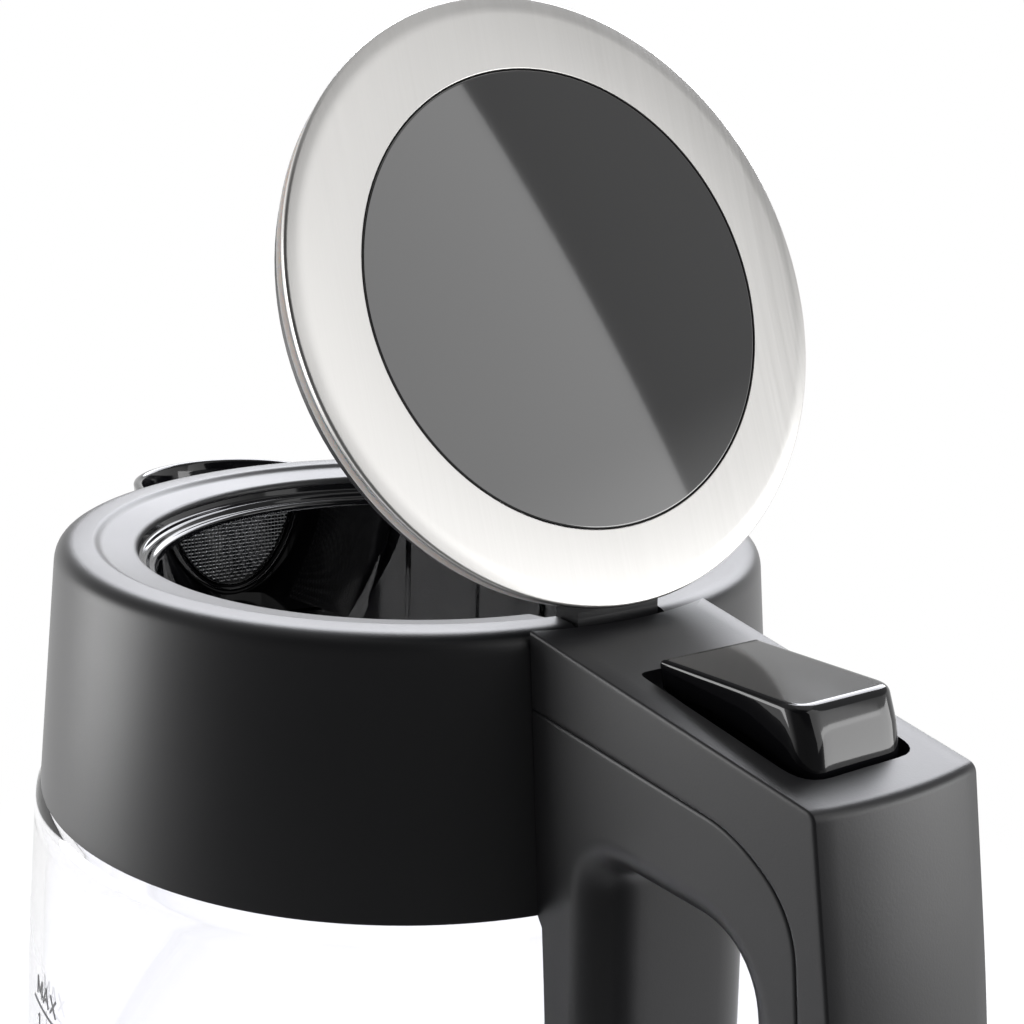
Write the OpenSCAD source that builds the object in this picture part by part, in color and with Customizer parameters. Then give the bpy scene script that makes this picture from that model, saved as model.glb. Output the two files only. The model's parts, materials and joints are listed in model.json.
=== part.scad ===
// Cordless glass electric kettle on its power base.
// Z is the kettle's axis, the handle points to +X and the spout to -X.
// The origin lies on the axis, on the surface that the power base stands on.

/* [Collar] */
// Height of the collar's lower edge above the table
collar_bottom = 190; // [180:1:200]
// Height of the collar
collar_h = 45; // [43:1:48]
// Collar radius at its lower edge
collar_r_low = 70; // [69.5:0.5:71]
// Collar radius at its top
collar_r_top = 65.5; // [65:0.1:66]
// Radius of the round opening in the collar's top ring
mouth_r = 51.2; // [51:0.1:51.6]

/* [Glass jug] */
// Widest radius of the glass
glass_r = 75.7; // [75:0.1:76]
// Wall thickness of the glass
glass_wall = 2.5; // [2:0.1:3]
// Height at which the glass starts to curve inward
barrel_start = 95; // [90:1:100]

/* [Lid] */
// Outer radius of the lid's steel ring
lid_r = 49.3; // [48.8:0.1:49.5]
// Radius of the dark disc in the lid
disc_r = 37.1; // [30:0.1:38]
// Angle at which the lid stands open
lid_open = 68; // [60:1:70]

/* [Handle] */
// Half width of the handle at the collar
handle_hw_in = 17.3; // [16.5:0.1:18]
// Half width of the handle at the grip
handle_hw_out = 15.3; // [15:0.1:16]
// Wall thickness of the handle's shells
handle_wall = 2.4; // [2:0.1:2.8]
// Half width of the release button
button_hw = 9.6; // [9:0.1:9.8]

/* [Power base] */
// Outer radius of the power base
base_r = 76; // [74:1:80]
// Height of the power base's top face
base_top = 20; // [20:0.5:20.5]
// Outer radius of the jug's bottom housing
housing_r = 76.4; // [76.2:0.1:77]

/* [Hidden] */
$fn = 96;

eps = 0.01;
collar_top = collar_bottom + collar_h;
housing_bottom = base_top + 0.5;
housing_top = 52;
glass_foot = 44;
glass_top = collar_bottom + 6;
barrel_radius = 909;
neck_r = 66.8;
foot_r = 72.6;
plate_r = 67.5;
ring_under = collar_top - 3.5;
collar_wall = 2.6;
liner_r = 63.2;

gland_z = 10.5;
post_r = 11;
post_top = 33;
socket_r = 17;
socket_top = 36;

lid_top = collar_top - 1;
hinge_x = 61;
hinge_z = collar_top - 12;
knuckle_r = 4.4;
pin_r = 1.5;
run_gap = 0.05;

spout_lip = collar_top - 7;
spout_floor = collar_bottom + 8;
filter_x = -84;
scoop_root = -50;

button_x = 87;
button_z = collar_top - 8.5;
switch_x = 108;
lead_z = 37.6;
switch_z = 68;

dark = "#2e2f33";
charcoal = "#3d3e42";
gloss = "#17181b";
steel = "#d9d8d4";
brass = "#c9a44c";
rubber = "#26272a";
silicone = "#cfd2d4";

// Unit vector along v
function unit(v) = v / norm(v);
// Points that blend corner b, t millimetres back along both sides
function blend(a, b, c, t, n = 6) = [for (i = [0:n]) let(s = i / n)
  (1 - s) * (1 - s) * (b + unit(a - b) * t) + 2 * s * (1 - s) * b + s * s * (b + unit(c - b) * t)];
// Outline from corners [x, y, blend length]
function outline(p) = let(n = len(p)) [for (i = [0:n - 1]) let(
  a = p[(i + n - 1) % n], b = p[i], c = p[(i + 1) % n])
  each (b[2] == 0 ? [[b[0], b[1]]] : blend([a[0], a[1]], [b[0], b[1]], [c[0], c[1]], b[2]))];
// The corners moved inward by d, for corners listed clockwise
function inset(p, d) = let(n = len(p)) [for (i = [0:n - 1]) let(
  a = [p[(i + n - 1) % n][0], p[(i + n - 1) % n][1]], b = [p[i][0], p[i][1]],
  c = [p[(i + 1) % n][0], p[(i + 1) % n][1]],
  u = unit(b - a), v = unit(c - b), nu = [u[1], -u[0]], nv = [v[1], -v[0]],
  m = unit(nu + nv), q = b + m * d / (m * nu))
  [q[0], q[1], max(0, p[i][2] - d * 0.4)]];
// Outer radius of the collar at height z
function collar_r(z) = collar_r_low - (collar_r_low - collar_r_top) * (z - collar_bottom) / collar_h;
// Outer radius of the glass at height z
function barrel(z) = glass_r - pow(max(0, z - barrel_start), 2) / (2 * barrel_radius);

// An outline in X and Z, made hw deep to both sides of the XZ plane
module slab(points, hw) {
  translate([0, hw, 0]) rotate([90, 0, 0]) linear_extrude(2 * hw) polygon(points);
}

// A bar along Y
module rod(x, z, r, hw) {
  translate([x, -hw, z]) rotate([-90, 0, 0]) cylinder(r = r, h = 2 * hw, $fn = 48);
}

// A pan-head screw pointing up, its head's underside at z = 0
module screw(shank_r, shank_l, head_r, head_h) {
  translate([0, 0, -head_h]) cylinder(r = head_r, h = head_h, $fn = 32);
  cylinder(r = shank_r, h = shank_l, $fn = 32);
}

// Copies children n times around the axis at radius r
module around(n, r, start = 0) {
  for (i = [0:n - 1]) rotate([0, 0, start + i * 360 / n]) translate([r, 0, 0]) children();
}

// A helical wire spring that stands on the XY plane, as one swept surface
module coil(r, wire, turns, height) {
  steps = 14;
  sides = 6;
  rings = round(turns * steps);
  pitch = (height - 2 * wire) / turns;
  points = [for (i = [0:rings]) let(a = i * 360 / steps, z = wire + pitch * i / steps)
    for (j = [0:sides - 1]) let(b = j * 360 / sides, q = r + wire * cos(b))
      [q * cos(a), q * sin(a), z + wire * sin(b)]];
  faces = [for (i = [0:rings - 1], j = [0:sides - 1])
    [i * sides + j, i * sides + (j + 1) % sides, (i + 1) * sides + (j + 1) % sides, (i + 1) * sides + j]];
  first = [for (j = [sides - 1:-1:0]) j];
  last = [for (j = [0:sides - 1]) rings * sides + j];
  polyhedron(points, concat([first], faces, [last]), convexity = 8);
}

// ---- Power base ----

module base_shell() {
  color(charcoal) difference() {
    rotate_extrude() polygon(outline([
      [post_r + 0.4, base_top - 2.2, 0], [post_r + 0.4, base_top + 1.6, 0], [16.4, base_top + 1.6, 0.6],
      [16.8, base_top - 0.8, 0], [24, base_top - 0.8, 0], [26, base_top, 0],
      [base_r - 3, base_top, 3], [base_r, 14, 3], [base_r, 4, 0], [base_r - 2.4, 4, 0],
      [base_r - 2.4, 13.5, 2], [base_r - 4, base_top - 2.4, 2]]));
    // Mouth for the cord gland
    translate([0, base_r, gland_z]) rotate([90, 0, 0]) cylinder(r = 5, h = 12);
  }
  color(charcoal) around(3, 60, 30) difference() {
    translate([0, 0, 4]) cylinder(r = 4, h = base_top - 6.3);
    translate([0, 0, 3]) cylinder(r = 1.5, h = 10);
  }
}

module base_plate() {
  color(dark) difference() {
    translate([0, 0, 2]) cylinder(r = base_r - 0.6, h = 2);
    around(3, 60, 30) cylinder(r = 1.5, h = 10);
    around(3, 60, 30) translate([0, 0, 1]) cylinder(r = 3.1, h = 2.2);
    foot_places() cylinder(r = 4, h = 3);
  }
}

// Four feet near the rim and one under the connector
module foot_places() {
  around(4, 66, 45) children();
  children();
}

module base_feet() {
  color(rubber) foot_places() cylinder(r = 4, h = 3);
}

module base_screws() {
  color(steel) around(3, 60, 30) translate([0, 0, 3.2]) screw(1.5, 8, 2.9, 1);
}

module cord_gland() {
  // Grommet with a round bore for the mains cord
  color(rubber) translate([0, base_r + 3, gland_z]) rotate([90, 0, 0]) difference() {
    union() {
      cylinder(r = 5, h = 12);
      cylinder(r = 6.2, h = 3);
      translate([0, 0, 9]) cylinder(r = 6.2, h = 2);
    }
    translate([0, 0, -1]) cylinder(r = 3.5, h = 20);
  }
}

module connector_post() {
  color(dark) difference() {
    union() {
      translate([0, 0, base_top - 5.4]) cylinder(r = 19, h = 3);
      translate([0, 0, 6]) cylinder(r = post_r, h = post_top - 6);
    }
    // Centre contact hole and the ring groove around it
    translate([0, 0, 21]) cylinder(r = 2.2, h = 20);
    translate([0, 0, 22]) difference() {
      cylinder(r = 8.4, h = 20);
      translate([0, 0, -1]) cylinder(r = 4.8, h = 22);
    }
  }
}

module connector_contacts() {
  color(brass) {
    translate([0, 0, 21]) difference() {
      cylinder(r = 2.2, h = 9);
      translate([0, 0, 1]) cylinder(r = 1.9, h = 9);
    }
    translate([0, 0, 22]) difference() {
      cylinder(r = 8.4, h = 8);
      translate([0, 0, -1]) cylinder(r = 8, h = 10);
    }
  }
}

module base_wires() {
  // Three insulated leads from the gland to the connector's underside
  for (i = [-1:1]) color(["#3a6fb0", "#8a5a2b", "#4f9a4a"][i + 1]) {
    translate([i * 3.2, post_r + 0.1, gland_z]) rotate([-90, 0, 0]) cylinder(r = 1.3, h = 55, $fn = 24);
  }
}

// ---- 360 degree socket ----

module socket_body() {
  color(dark) difference() {
    translate([0, 0, housing_bottom + 1.4]) cylinder(r = socket_r, h = socket_top - housing_bottom - 1.4);
    difference() {
      translate([0, 0, 15]) cylinder(r = post_r + 0.6, h = post_top + 0.5 - 15);
      // Ring wall that enters the post's groove
      translate([0, 0, 24]) difference() {
        cylinder(r = 7.2, h = 20);
        translate([0, 0, -1]) cylinder(r = 5.4, h = 22);
      }
    }
    cylinder(r = 1.5, h = 60);
  }
}

module socket_contacts() {
  color(brass) {
    translate([0, 0, 23]) cylinder(r = 1.5, h = socket_top - 23);
    translate([0, 0, 25]) difference() {
      cylinder(r = 7.5, h = 6);
      translate([0, 0, -1]) cylinder(r = 7.2, h = 8);
    }
  }
}

// ---- Jug, lower end ----

module bottom_housing() {
  color(charcoal) difference() {
    union() {
      rotate_extrude() polygon(outline([
        [housing_r - 2.4, housing_bottom + 0.6, 0], [housing_r - 1.6, housing_bottom, 0.5],
        [housing_r, housing_bottom + 4, 2], [housing_r, housing_top, 0.6], [foot_r + 0.3, housing_top, 0],
        [foot_r + 0.3, 42, 0], [68.5, 42, 0], [68.5, 39.8, 0], [housing_r - 2.6, 39.8, 0]]));
      around(3, 62, 60) difference() {
        union() {
          translate([0, 0, housing_bottom + 2.6]) cylinder(r = 4, h = 39.8 - housing_bottom - 2.6);
          translate([0, -1, housing_bottom + 2.6]) cube([housing_r - 64.4, 2, 39.8 - housing_bottom - 2.6]);
        }
        translate([0, 0, housing_bottom]) cylinder(r = 1.5, h = 14);
      }
    }
    // Passage for the switch leads
    translate([60, 0, lead_z]) rotate([0, 90, 0]) cylinder(r = 3.2, h = 30);
  }
}

module bottom_cover() {
  color(dark) difference() {
    rotate_extrude() polygon([
      [socket_r + 4, housing_bottom + 0.6], [housing_r - 2.5, housing_bottom + 0.6],
      [housing_r - 2.5, housing_bottom + 2.6], [socket_r + 4, housing_bottom + 2.6]]);
    around(3, 62, 60) cylinder(r = 1.5, h = 60);
    around(3, 62, 60) translate([0, 0, housing_bottom]) cylinder(r = 3, h = 1.6);
  }
}

module bottom_screws() {
  color(steel) around(3, 62, 60) translate([0, 0, housing_bottom + 1.6]) screw(1.5, 10, 2.8, 0.9);
}

module plate_gasket() {
  color(silicone) rotate_extrude() polygon([
    [plate_r, 42], [foot_r, 42], [foot_r, glass_foot], [foot_r - glass_wall, glass_foot],
    [foot_r - glass_wall, 50], [plate_r, 50]]);
}

module heater_plate() {
  color(steel) rotate_extrude() polygon([
    [0, 46], [plate_r - 1.2, 46], [plate_r - 1.2, 43], [plate_r, 43], [plate_r, 47.2], [0, 47.2]]);
}

module diffuser_plate() {
  color("#b9bcc0") difference() {
    translate([0, 0, 43.6]) cylinder(r = 52, h = 2.4);
    around(3, 26, 90) translate([0, 0, 43]) cylinder(r = 1.5, h = 2);
  }
}

module heating_element() {
  color("#8f8a80") translate([0, 0, 40]) rotate([0, 0, 25])
    rotate_extrude(angle = 310) translate([44, 0]) circle(r = 3.6, $fn = 32);
}

module element_terminals() {
  color(steel) for (a = [28, -28]) rotate([0, 0, a]) translate([44, 0, 0]) {
    translate([0, 0, 26]) cylinder(r = 1.4, h = 11.4, $fn = 24);
    translate([-4.6, -0.4, 26]) cube([4.6, 0.8, 6]);
  }
}

module control_unit() {
  color("#e6e4de") difference() {
    union() {
      translate([0, 0, socket_top + 0.5]) cylinder(r = 31, h = 42.2 - socket_top - 0.5);
      translate([0, 0, housing_bottom + 0.6]) cylinder(r = socket_r + 3.9, h = socket_top - housing_bottom);
    }
    translate([0, 0, 0]) cylinder(r = socket_r + 0.4, h = socket_top + 0.5);
    around(3, 26, 90) cylinder(r = 1.5, h = 60);
  }
}

module control_screws() {
  color(steel) around(3, 26, 90) translate([0, 0, socket_top + 0.5]) screw(1.5, 8, 2.7, 1.4);
}

module bimetal_discs() {
  color("#c7a878") for (x = [-14, 14]) translate([x, 0, 42.2]) cylinder(r = 6.5, h = 0.9);
}

// ---- Jug, glass and collar ----

module glass_jug() {
  shoulder = collar_bottom - 1.5;
  steps = 10;
  wall = [for (i = [0:steps]) let(z = barrel_start + (shoulder - barrel_start) * i / steps) [barrel(z), z]];
  inner = [for (i = [steps:-1:0]) wall[i] - [glass_wall, 0]];
  color([0.85, 0.92, 0.95, 0.35]) rotate_extrude() polygon(concat(
    [[foot_r - glass_wall, glass_foot], [foot_r, glass_foot], [foot_r, housing_top + 0.4],
     [glass_r, housing_top + 2.4]], wall,
    [[neck_r, collar_bottom + 0.2], [neck_r, glass_top], [neck_r - glass_wall, glass_top],
     [neck_r - glass_wall, collar_bottom - 1]],
    inner, [[glass_r - glass_wall, housing_top + 3.4], [foot_r - glass_wall, housing_top + 1.4]]));
}

// Solid inside the jug's outer skin, which the spout and the handle stop at
module jug_core() {
  shoulder = collar_bottom - 1.5;
  steps = 10;
  rotate_extrude() polygon(concat([[0, 0], [housing_r, 0], [housing_r, housing_top + 0.2],
    [glass_r + 0.2, housing_top + 2.4]],
    [for (i = [0:steps]) let(z = barrel_start + (shoulder - barrel_start) * i / steps) [barrel(z) + 0.2, z]],
    [[collar_r_low, collar_bottom], [collar_r(collar_top + 4), collar_top + 4], [0, collar_top + 4]]));
}

// The spout's scoop: a wide round lip narrowing down to the collar's wall
module scoop(t, low, high) {
  hull() {
    translate([-81, 0, high]) cylinder(r = 23.4 - t, h = eps, $fn = 48);
    translate([scoop_root, 0, high + eps / 2]) cube([eps, 2 * (33 - t), eps], center = true);
    translate([-75.5, 0, low]) cylinder(r = 13.6 - t, h = eps, $fn = 32);
    translate([scoop_root, 0, low + eps / 2]) cube([eps, 2 * (24 - t), eps], center = true);
  }
}

module collar_shell() {
  color(charcoal) difference() {
    union() {
      rotate_extrude() polygon(outline([
        [collar_r_low, collar_bottom, 0], [collar_r_low - collar_wall, collar_bottom, 0],
        [collar_r(ring_under) - collar_wall, ring_under, 0],
        [mouth_r + 0.2, ring_under, 0], [mouth_r, collar_top - 2, 0.5], [57.8, collar_top - 0.6, 0.3],
        [58.6, collar_top, 0.3], [collar_r_top, collar_top, 2.4]]));
      // Ears that hold the lid's hinge pin
      for (s = [-1, 1]) intersection() {
        slab(outline([[55.5, ring_under + 1, 0], [63.4, ring_under + 1, 0], [63.4, hinge_z - 7, 0],
          [57, hinge_z - 5, 2]]), 12.5);
        translate([50, s > 0 ? 8.6 : -12.5, 200]) cube([15, 3.9, 40]);
      }
    }
    scoop(2, spout_floor, spout_lip);
    // Slot in which the hinge arm swings and through which the latch nose comes
    translate([45, -8.8, hinge_z - 6.5]) cube([24.5, 17.6, 30]);
    rod(hinge_x, hinge_z, pin_r, 14);
    // Steam outlet
    translate([60, 0, collar_bottom + 19]) rotate([0, 90, 0]) cylinder(r = 2.6, h = 12);
  }
}

module collar_liner() {
  color(gloss) difference() {
    union() {
      rotate_extrude() polygon([
        [mouth_r + 0.2, ring_under], [mouth_r + 0.2, collar_top - 4.8], [49.2, collar_top - 4.8],
        [49.2, collar_top - 5.6], [48, collar_top - 5.6], [48, collar_top - 7.4], [52, collar_top - 8],
        [58.4, collar_top - 11], [60.4, collar_top - 15], [61.2, collar_bottom + 14],
        [61.2, collar_bottom + 1.5], [liner_r, collar_bottom + 1.5], [liner_r, collar_top - 13],
        [60.6, collar_top - 9.4], [62, collar_top - 6.4], [62, ring_under]]);
      // Stiffening ribs on the inner wall
      around(24, 60, 7.5) translate([0, -0.5, collar_bottom + 4]) cube([2, 1, 24]);
    }
    scoop(1.2, collar_bottom + 7, spout_lip - 0.6);
    translate([-70, -26, collar_bottom + 8]) cube([30, 52, spout_lip - collar_bottom - 9]);
    translate([45, -12.9, hinge_z - 8]) cube([30, 25.8, 30]);
    translate([50, 0, collar_bottom + 19]) rotate([0, 90, 0]) cylinder(r = 2.6, h = 22);
  }
}

module collar_gasket() {
  color(silicone) rotate_extrude() polygon([
    [liner_r, collar_bottom + 2], [neck_r - glass_wall, collar_bottom + 2],
    [neck_r - glass_wall, glass_top], [neck_r - 0.4, glass_top], [neck_r - 0.4, glass_top + 1.5],
    [liner_r, glass_top + 1.5]]);
}

module spout() {
  color(charcoal) difference() {
    scoop(0, spout_floor - 3.5, spout_lip);
    scoop(2, spout_floor, spout_lip + 0.5);
    jug_core();
  }
}

// ---- Handle ----

// Corners of the handle's outer edge, clockwise from the collar's top
handle_edge = [[50, collar_top + 2.1, 0], [121, collar_top - 6.7, 3], [127, 197, 12], [133.5, 152, 26],
  [131.5, 96, 26], [125, 50, 14], [100, 37, 11], [50, 27, 0]];
// Corners of the finger opening, clockwise
finger_edge = [[81.5, 203.2, 5], [109.5, 203.6, 9], [116.5, 152, 26], [113.6, 84, 15],
  [86, 78, 12]];
// Corners of the parting line between the outer shell and the inner cover, clockwise
parting_edge = [[50, collar_top - 10.8, 0], [107.5, collar_top - 14.6, 0], [119, collar_top - 21, 8],
  [127.6, 152, 26], [125.6, 96, 24], [119.5, 55, 12], [98, 43.6, 10], [50, 34, 0]];

// A solid of the handle's side outline, narrower towards the grip by the plan's taper
module handle_solid(points, less) {
  intersection() {
    slab(points, handle_hw_in + 1);
    linear_extrude(260) polygon([[40, -handle_hw_in - 0.8 + less], [136, -handle_hw_out + 0.3 + less],
      [136, handle_hw_out - 0.3 - less], [40, handle_hw_in + 0.8 - less]]);
  }
}

module handle_cavity() {
  handle_solid(outline(inset(handle_edge, handle_wall)), handle_wall);
}

// Screw places on the grip: [x of the head's seat, height]
grip_screws = [[116.6, 160], [115.8, 100]];

module handle_shell() {
  color(charcoal) {
    difference() {
      handle_solid(outline(handle_edge), 0);
      handle_cavity();
      handle_solid(outline(parting_edge), -2);
      jug_core();
      // Opening for the release button
      translate([81.4, -10.9, 215]) cube([34, 21.8, 30]);
      // Slot for the switch lever
      translate([112, -8.6, switch_z - 7.4]) cube([30, 17.2, 12]);
    }
    // Posts that the inner cover is screwed to
    for (p = grip_screws) translate([119, 0, p[1]]) rotate([0, 90, 0]) difference() {
      cylinder(r = 3.4, h = 12, $fn = 32);
      translate([0, 0, -1]) cylinder(r = 1.3, h = 11, $fn = 32);
    }
  }
}

module handle_inner() {
  color(charcoal) difference() {
    handle_solid(outline(parting_edge), 0);
    difference() {
      handle_cavity();
      handle_solid(outline(inset(finger_edge, -handle_wall)), -2);
    }
    handle_solid(outline(finger_edge), -2);
    jug_core();
    for (p = grip_screws) translate([p[0], 0, p[1]]) rotate([0, 90, 0]) {
      translate([0, 0, -12]) cylinder(r = 2.6, h = 12, $fn = 32);
      translate([0, 0, -1]) cylinder(r = 1.3, h = 4, $fn = 32);
    }
    translate([116, -8.6, switch_z - 7.4]) cube([30, 17.2, 12]);
  }
}

module handle_screws() {
  color(steel) for (p = grip_screws) translate([p[0], 0, p[1]]) rotate([0, 90, 0])
    screw(1.3, 10, 2.4, 1);
}

module steam_tube() {
  top = [76.5, collar_bottom + 19];
  foot = [81, 74];
  tilt = atan2(foot[0] - top[0], top[1] - foot[1]);
  color(silicone) difference() {
    union() {
      translate([61.5, 0, top[1]]) rotate([0, 90, 0]) cylinder(r = 2.4, h = top[0] - 61.5, $fn = 32);
      translate([top[0], 0, top[1]]) sphere(r = 2.4, $fn = 32);
      translate([foot[0], 0, foot[1]]) rotate([0, -tilt, 0])
        cylinder(r = 2.4, h = norm(top - foot), $fn = 32);
    }
    translate([60, 0, top[1]]) rotate([0, 90, 0]) cylinder(r = 1.4, h = top[0] - 60, $fn = 32);
    translate([foot[0], 0, foot[1]]) rotate([0, -tilt, 0]) translate([0, 0, -2])
      cylinder(r = 1.4, h = norm(top - foot) + 2, $fn = 32);
  }
}

module switch_housing() {
  color(dark) difference() {
    union() {
      translate([84, -8, 58]) cube([18, 16, 14]);
      for (s = [-1, 1]) translate([98, s > 0 ? 8 : -10.4, 60]) cube([14, 2.4, 13]);
      translate([84, 8 - eps, 60]) cube([18, 2.4, 11]);
      translate([84, -10.4, 60]) cube([18, 2.4 + eps, 11]);
    }
    rod(switch_x, switch_z, 1.2, 12);
  }
}

module steam_disc() {
  color("#c7a878") translate([92, 0, 72]) cylinder(r = 6, h = 0.8);
}

module switch_wires() {
  for (s = [-1, 1]) color(s > 0 ? "#b03a30" : "#e8e6e0") {
    translate([31, s * 1.4, lead_z]) rotate([0, 90, 0]) cylinder(r = 1.2, h = 51, $fn = 24);
    translate([82, s * 1.4, lead_z]) sphere(r = 1.34, $fn = 24);
    translate([82, s * 1.4, lead_z]) rotate([0, 16, 0]) cylinder(r = 1.2, h = 20.6, $fn = 24);
  }
}

module switch_pin() {
  color(steel) rod(switch_x, switch_z, 1.2, 10.4);
}

module button_well() {
  color(gloss) difference() {
    union() {
      translate([81.4, -12.2, 217.4]) cube([34.8, 24.4, 8.6]);
      for (s = [-1, 1]) translate([83, s > 0 ? 10.7 : -12.2, 217.4]) cube([8, 1.5, 10.8]);
    }
    translate([82.6, -10.7, 219.6]) cube([32.4, 21.4, 10]);
    translate([80, -5.6, 217]) cube([20, 11.2, 10]);
    rod(button_x, button_z - 1.4, pin_r, 20);
  }
}

module button_pin() {
  color(steel) rod(button_x, button_z - 1.4, pin_r, 12.2);
}

module hinge_pin() {
  color(steel) rod(hinge_x, hinge_z, pin_r, 12.5);
}

module lid_spring() {
  color(steel) translate([hinge_x, -1.8, hinge_z]) rotate([-90, 0, 0]) coil(2.5, 0.4, 3.5, 3.6);
}

module button_spring() {
  color(steel) translate([106, 0, 219.6]) coil(2.6, 0.4, 4, 7.6);
}

module latch_spring() {
  color(steel) translate([92.4, 0, 221]) rotate([0, 90, 0]) coil(1.6, 0.35, 3, 5);
}

// ---- Lid ----

// Turns children, drawn with the lid shut, up to the open rest position
module opened() {
  translate([hinge_x, 0, hinge_z]) rotate([0, lid_open, 0]) translate([-hinge_x, 0, -hinge_z]) children();
}

module lid_ring() {
  color(steel) opened() translate([0, 0, lid_top]) rotate_extrude() polygon(outline([
    [disc_r + 0.2, -0.2, 0], [disc_r + 0.2, -1.1, 0], [lid_r - 1.6, -0.9, 0.6], [lid_r - 0.8, -1.6, 0.4],
    [lid_r - 0.8, -3, 0], [lid_r, -3, 0.2], [lid_r, 0, 1.4]]));
}

module lid_disc() {
  color(gloss) opened() translate([0, 0, lid_top - 2.2]) cylinder(r = disc_r, h = 2.1);
}

module lid_carrier() {
  color(dark) opened() translate([0, 0, lid_top]) difference() {
    union() {
      rotate_extrude() polygon([
        [0, -4.5], [0, -2.3], [disc_r + 0.1, -2.3], [disc_r + 0.1, -1.2], [lid_r - 1.8, -1.1],
        [lid_r - 1, -1.8], [lid_r - 1, -3.1], [47.6, -3.1], [47.6, -7.5], [45.6, -7.5], [45.6, -4.5]]);
      around(3, 30, 60) translate([0, 0, -10.6]) cylinder(r = 3.2, h = 6.2);
    }
    around(3, 30, 60) translate([0, 0, -11]) cylinder(r = 1.4, h = 8);
    // Seat of the hinge arm
    translate([30, -8.3, -9]) cube([30, 16.6, 5.9]);
  }
}

module lid_cover() {
  color(dark) opened() translate([0, 0, lid_top]) difference() {
    rotate_extrude() polygon([
      [0, -12.5], [40, -12.5], [45.2, -9], [45.2, -4.6], [43.4, -4.6], [43.4, -8.2], [39.2, -10.7],
      [0, -10.7]]);
    around(3, 30, 60) translate([0, 0, -13]) cylinder(r = 1.4, h = 8);
    around(3, 30, 60) translate([0, 0, -13]) cylinder(r = 2.7, h = 1.5);
    around(8, 16) translate([0, 0, -14]) cylinder(r = 1.5, h = 6);
    translate([28, -8.6, -10.5]) cube([30, 17.2, 8]);
  }
}

module lid_gasket() {
  color(silicone) opened() translate([0, 0, lid_top]) difference() {
    rotate_extrude() polygon([[47.6, -4.4], [48.8, -4.2], [48.3, -3.2], [47.6, -3.2]]);
    translate([40, -8.3, -9]) cube([20, 16.6, 8]);
  }
}

module lid_screws() {
  color(steel) opened() translate([0, 0, lid_top]) around(3, 30, 60) translate([0, 0, -11.5])
    screw(1.4, 8, 2.6, 1);
}

module hinge_arm() {
  arm = outline([[31, -4.6, 0], [31, -8, 0], [46, -8.4, 6],
    [hinge_x - 1.6, hinge_z - lid_top - knuckle_r + 0.3, 0], [hinge_x + 1, hinge_z - lid_top + knuckle_r - 0.4, 0],
    [49, -4.4, 3], [47, -3.2, 0], [44, -3.2, 0], [44, -4.6, 0]]);
  color(dark) opened() translate([0, 0, lid_top]) difference() {
    union() {
      slab(arm, 8);
      rod(hinge_x, hinge_z - lid_top, knuckle_r, 8);
      // Catch that the latch nose holds
      intersection() {
        translate([hinge_x, 0, hinge_z - lid_top]) rotate([0, -22, 0]) translate([0, -3, -1.2]) cube([6.6, 6, 2.4]);
        rod(hinge_x, hinge_z - lid_top, 6.6, 4);
      }
    }
    rod(hinge_x, hinge_z - lid_top, pin_r + run_gap, 20);
    // Bay for the lid spring
    rod(hinge_x, hinge_z - lid_top, 3.3, 2.2);
    translate([hinge_x, -2.2, hinge_z - lid_top - 6]) cube([6, 4.4, 4]);
  }
}

// ---- Release button, latch, switch and filter ----

module release_button() {
  pivot = button_z - 1.4;
  lug = [button_x, pivot];
  body = outline([[84, 236.2, 0.4], [110.8, 237.8, 4], [114.4, 229, 1], [114.2, 225.4, 0.6],
    [109.4, 225.4, 0], [109.4, 227.6, 0], [102.6, 227.6, 0], [102.6, 225.4, 0], [96, 226.4, 1.6], [91, 229, 0],
    [84.4, 231.6, 0.6]]);
  color(gloss) difference() {
    union() {
      slab(body, button_hw);
      for (s = [-1, 1]) translate([0, s * 8, 0]) {
        rod(lug[0], lug[1], 3.4, 1.5);
        translate([lug[0] - 3.4, -1.5, lug[1]]) cube([6.8, 3, 6]);
      }
    }
    rod(lug[0], lug[1], pin_r + run_gap, 20);
  }
}

module latch_slider() {
  color(dark) difference() {
    union() {
      translate([71, -5, hinge_z - 4]) cube([20.6, 10, 4]);
      translate([68.3, -3, hinge_z - 3.6]) cube([5, 6, 3.2]);
    }
    translate([88.4, 0, 221]) rotate([0, 90, 0]) cylinder(r = 2.2, h = 10, $fn = 24);
  }
}

module switch_lever() {
  color(dark) difference() {
    union() {
      rod(switch_x, switch_z, 3.6, 7.6);
      slab(outline([[switch_x, switch_z + 2.4, 0], [128, switch_z + 1.4, 0], [135, switch_z - 1, 0.9],
        [135.4, switch_z - 3, 0.9], [130, switch_z - 2.4, 2], [switch_x, switch_z - 2.6, 0]]), 7.6);
    }
    rod(switch_x, switch_z, 1.2 + run_gap, 20);
    translate([126.4, -3.4, switch_z - 1]) cube([4.2, 6.8, 8]);
  }
}

module switch_lens() {
  color([0.3, 0.55, 0.9, 0.6]) translate([126.4, -3.4, switch_z - 1]) cube([4.2, 6.8, 2.2]);
}

module filter_frame() {
  color(gloss) difference() {
    intersection() {
      scoop(2.5, spout_floor + 1, spout_lip - 0.4);
      translate([filter_x - 1.3, -30, 190]) cube([2.6, 60, 60]);
    }
    intersection() {
      scoop(5, spout_floor + 4, spout_lip - 3);
      translate([filter_x - 2, -30, 190]) cube([4, 60, 60]);
    }
  }
}

module filter_mesh() {
  color("#a9abae") intersection() {
    scoop(5, spout_floor + 4, spout_lip - 3);
    translate([filter_x - 0.2, -30, 190]) cube([0.4, 60, 60]);
  }
}

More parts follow.
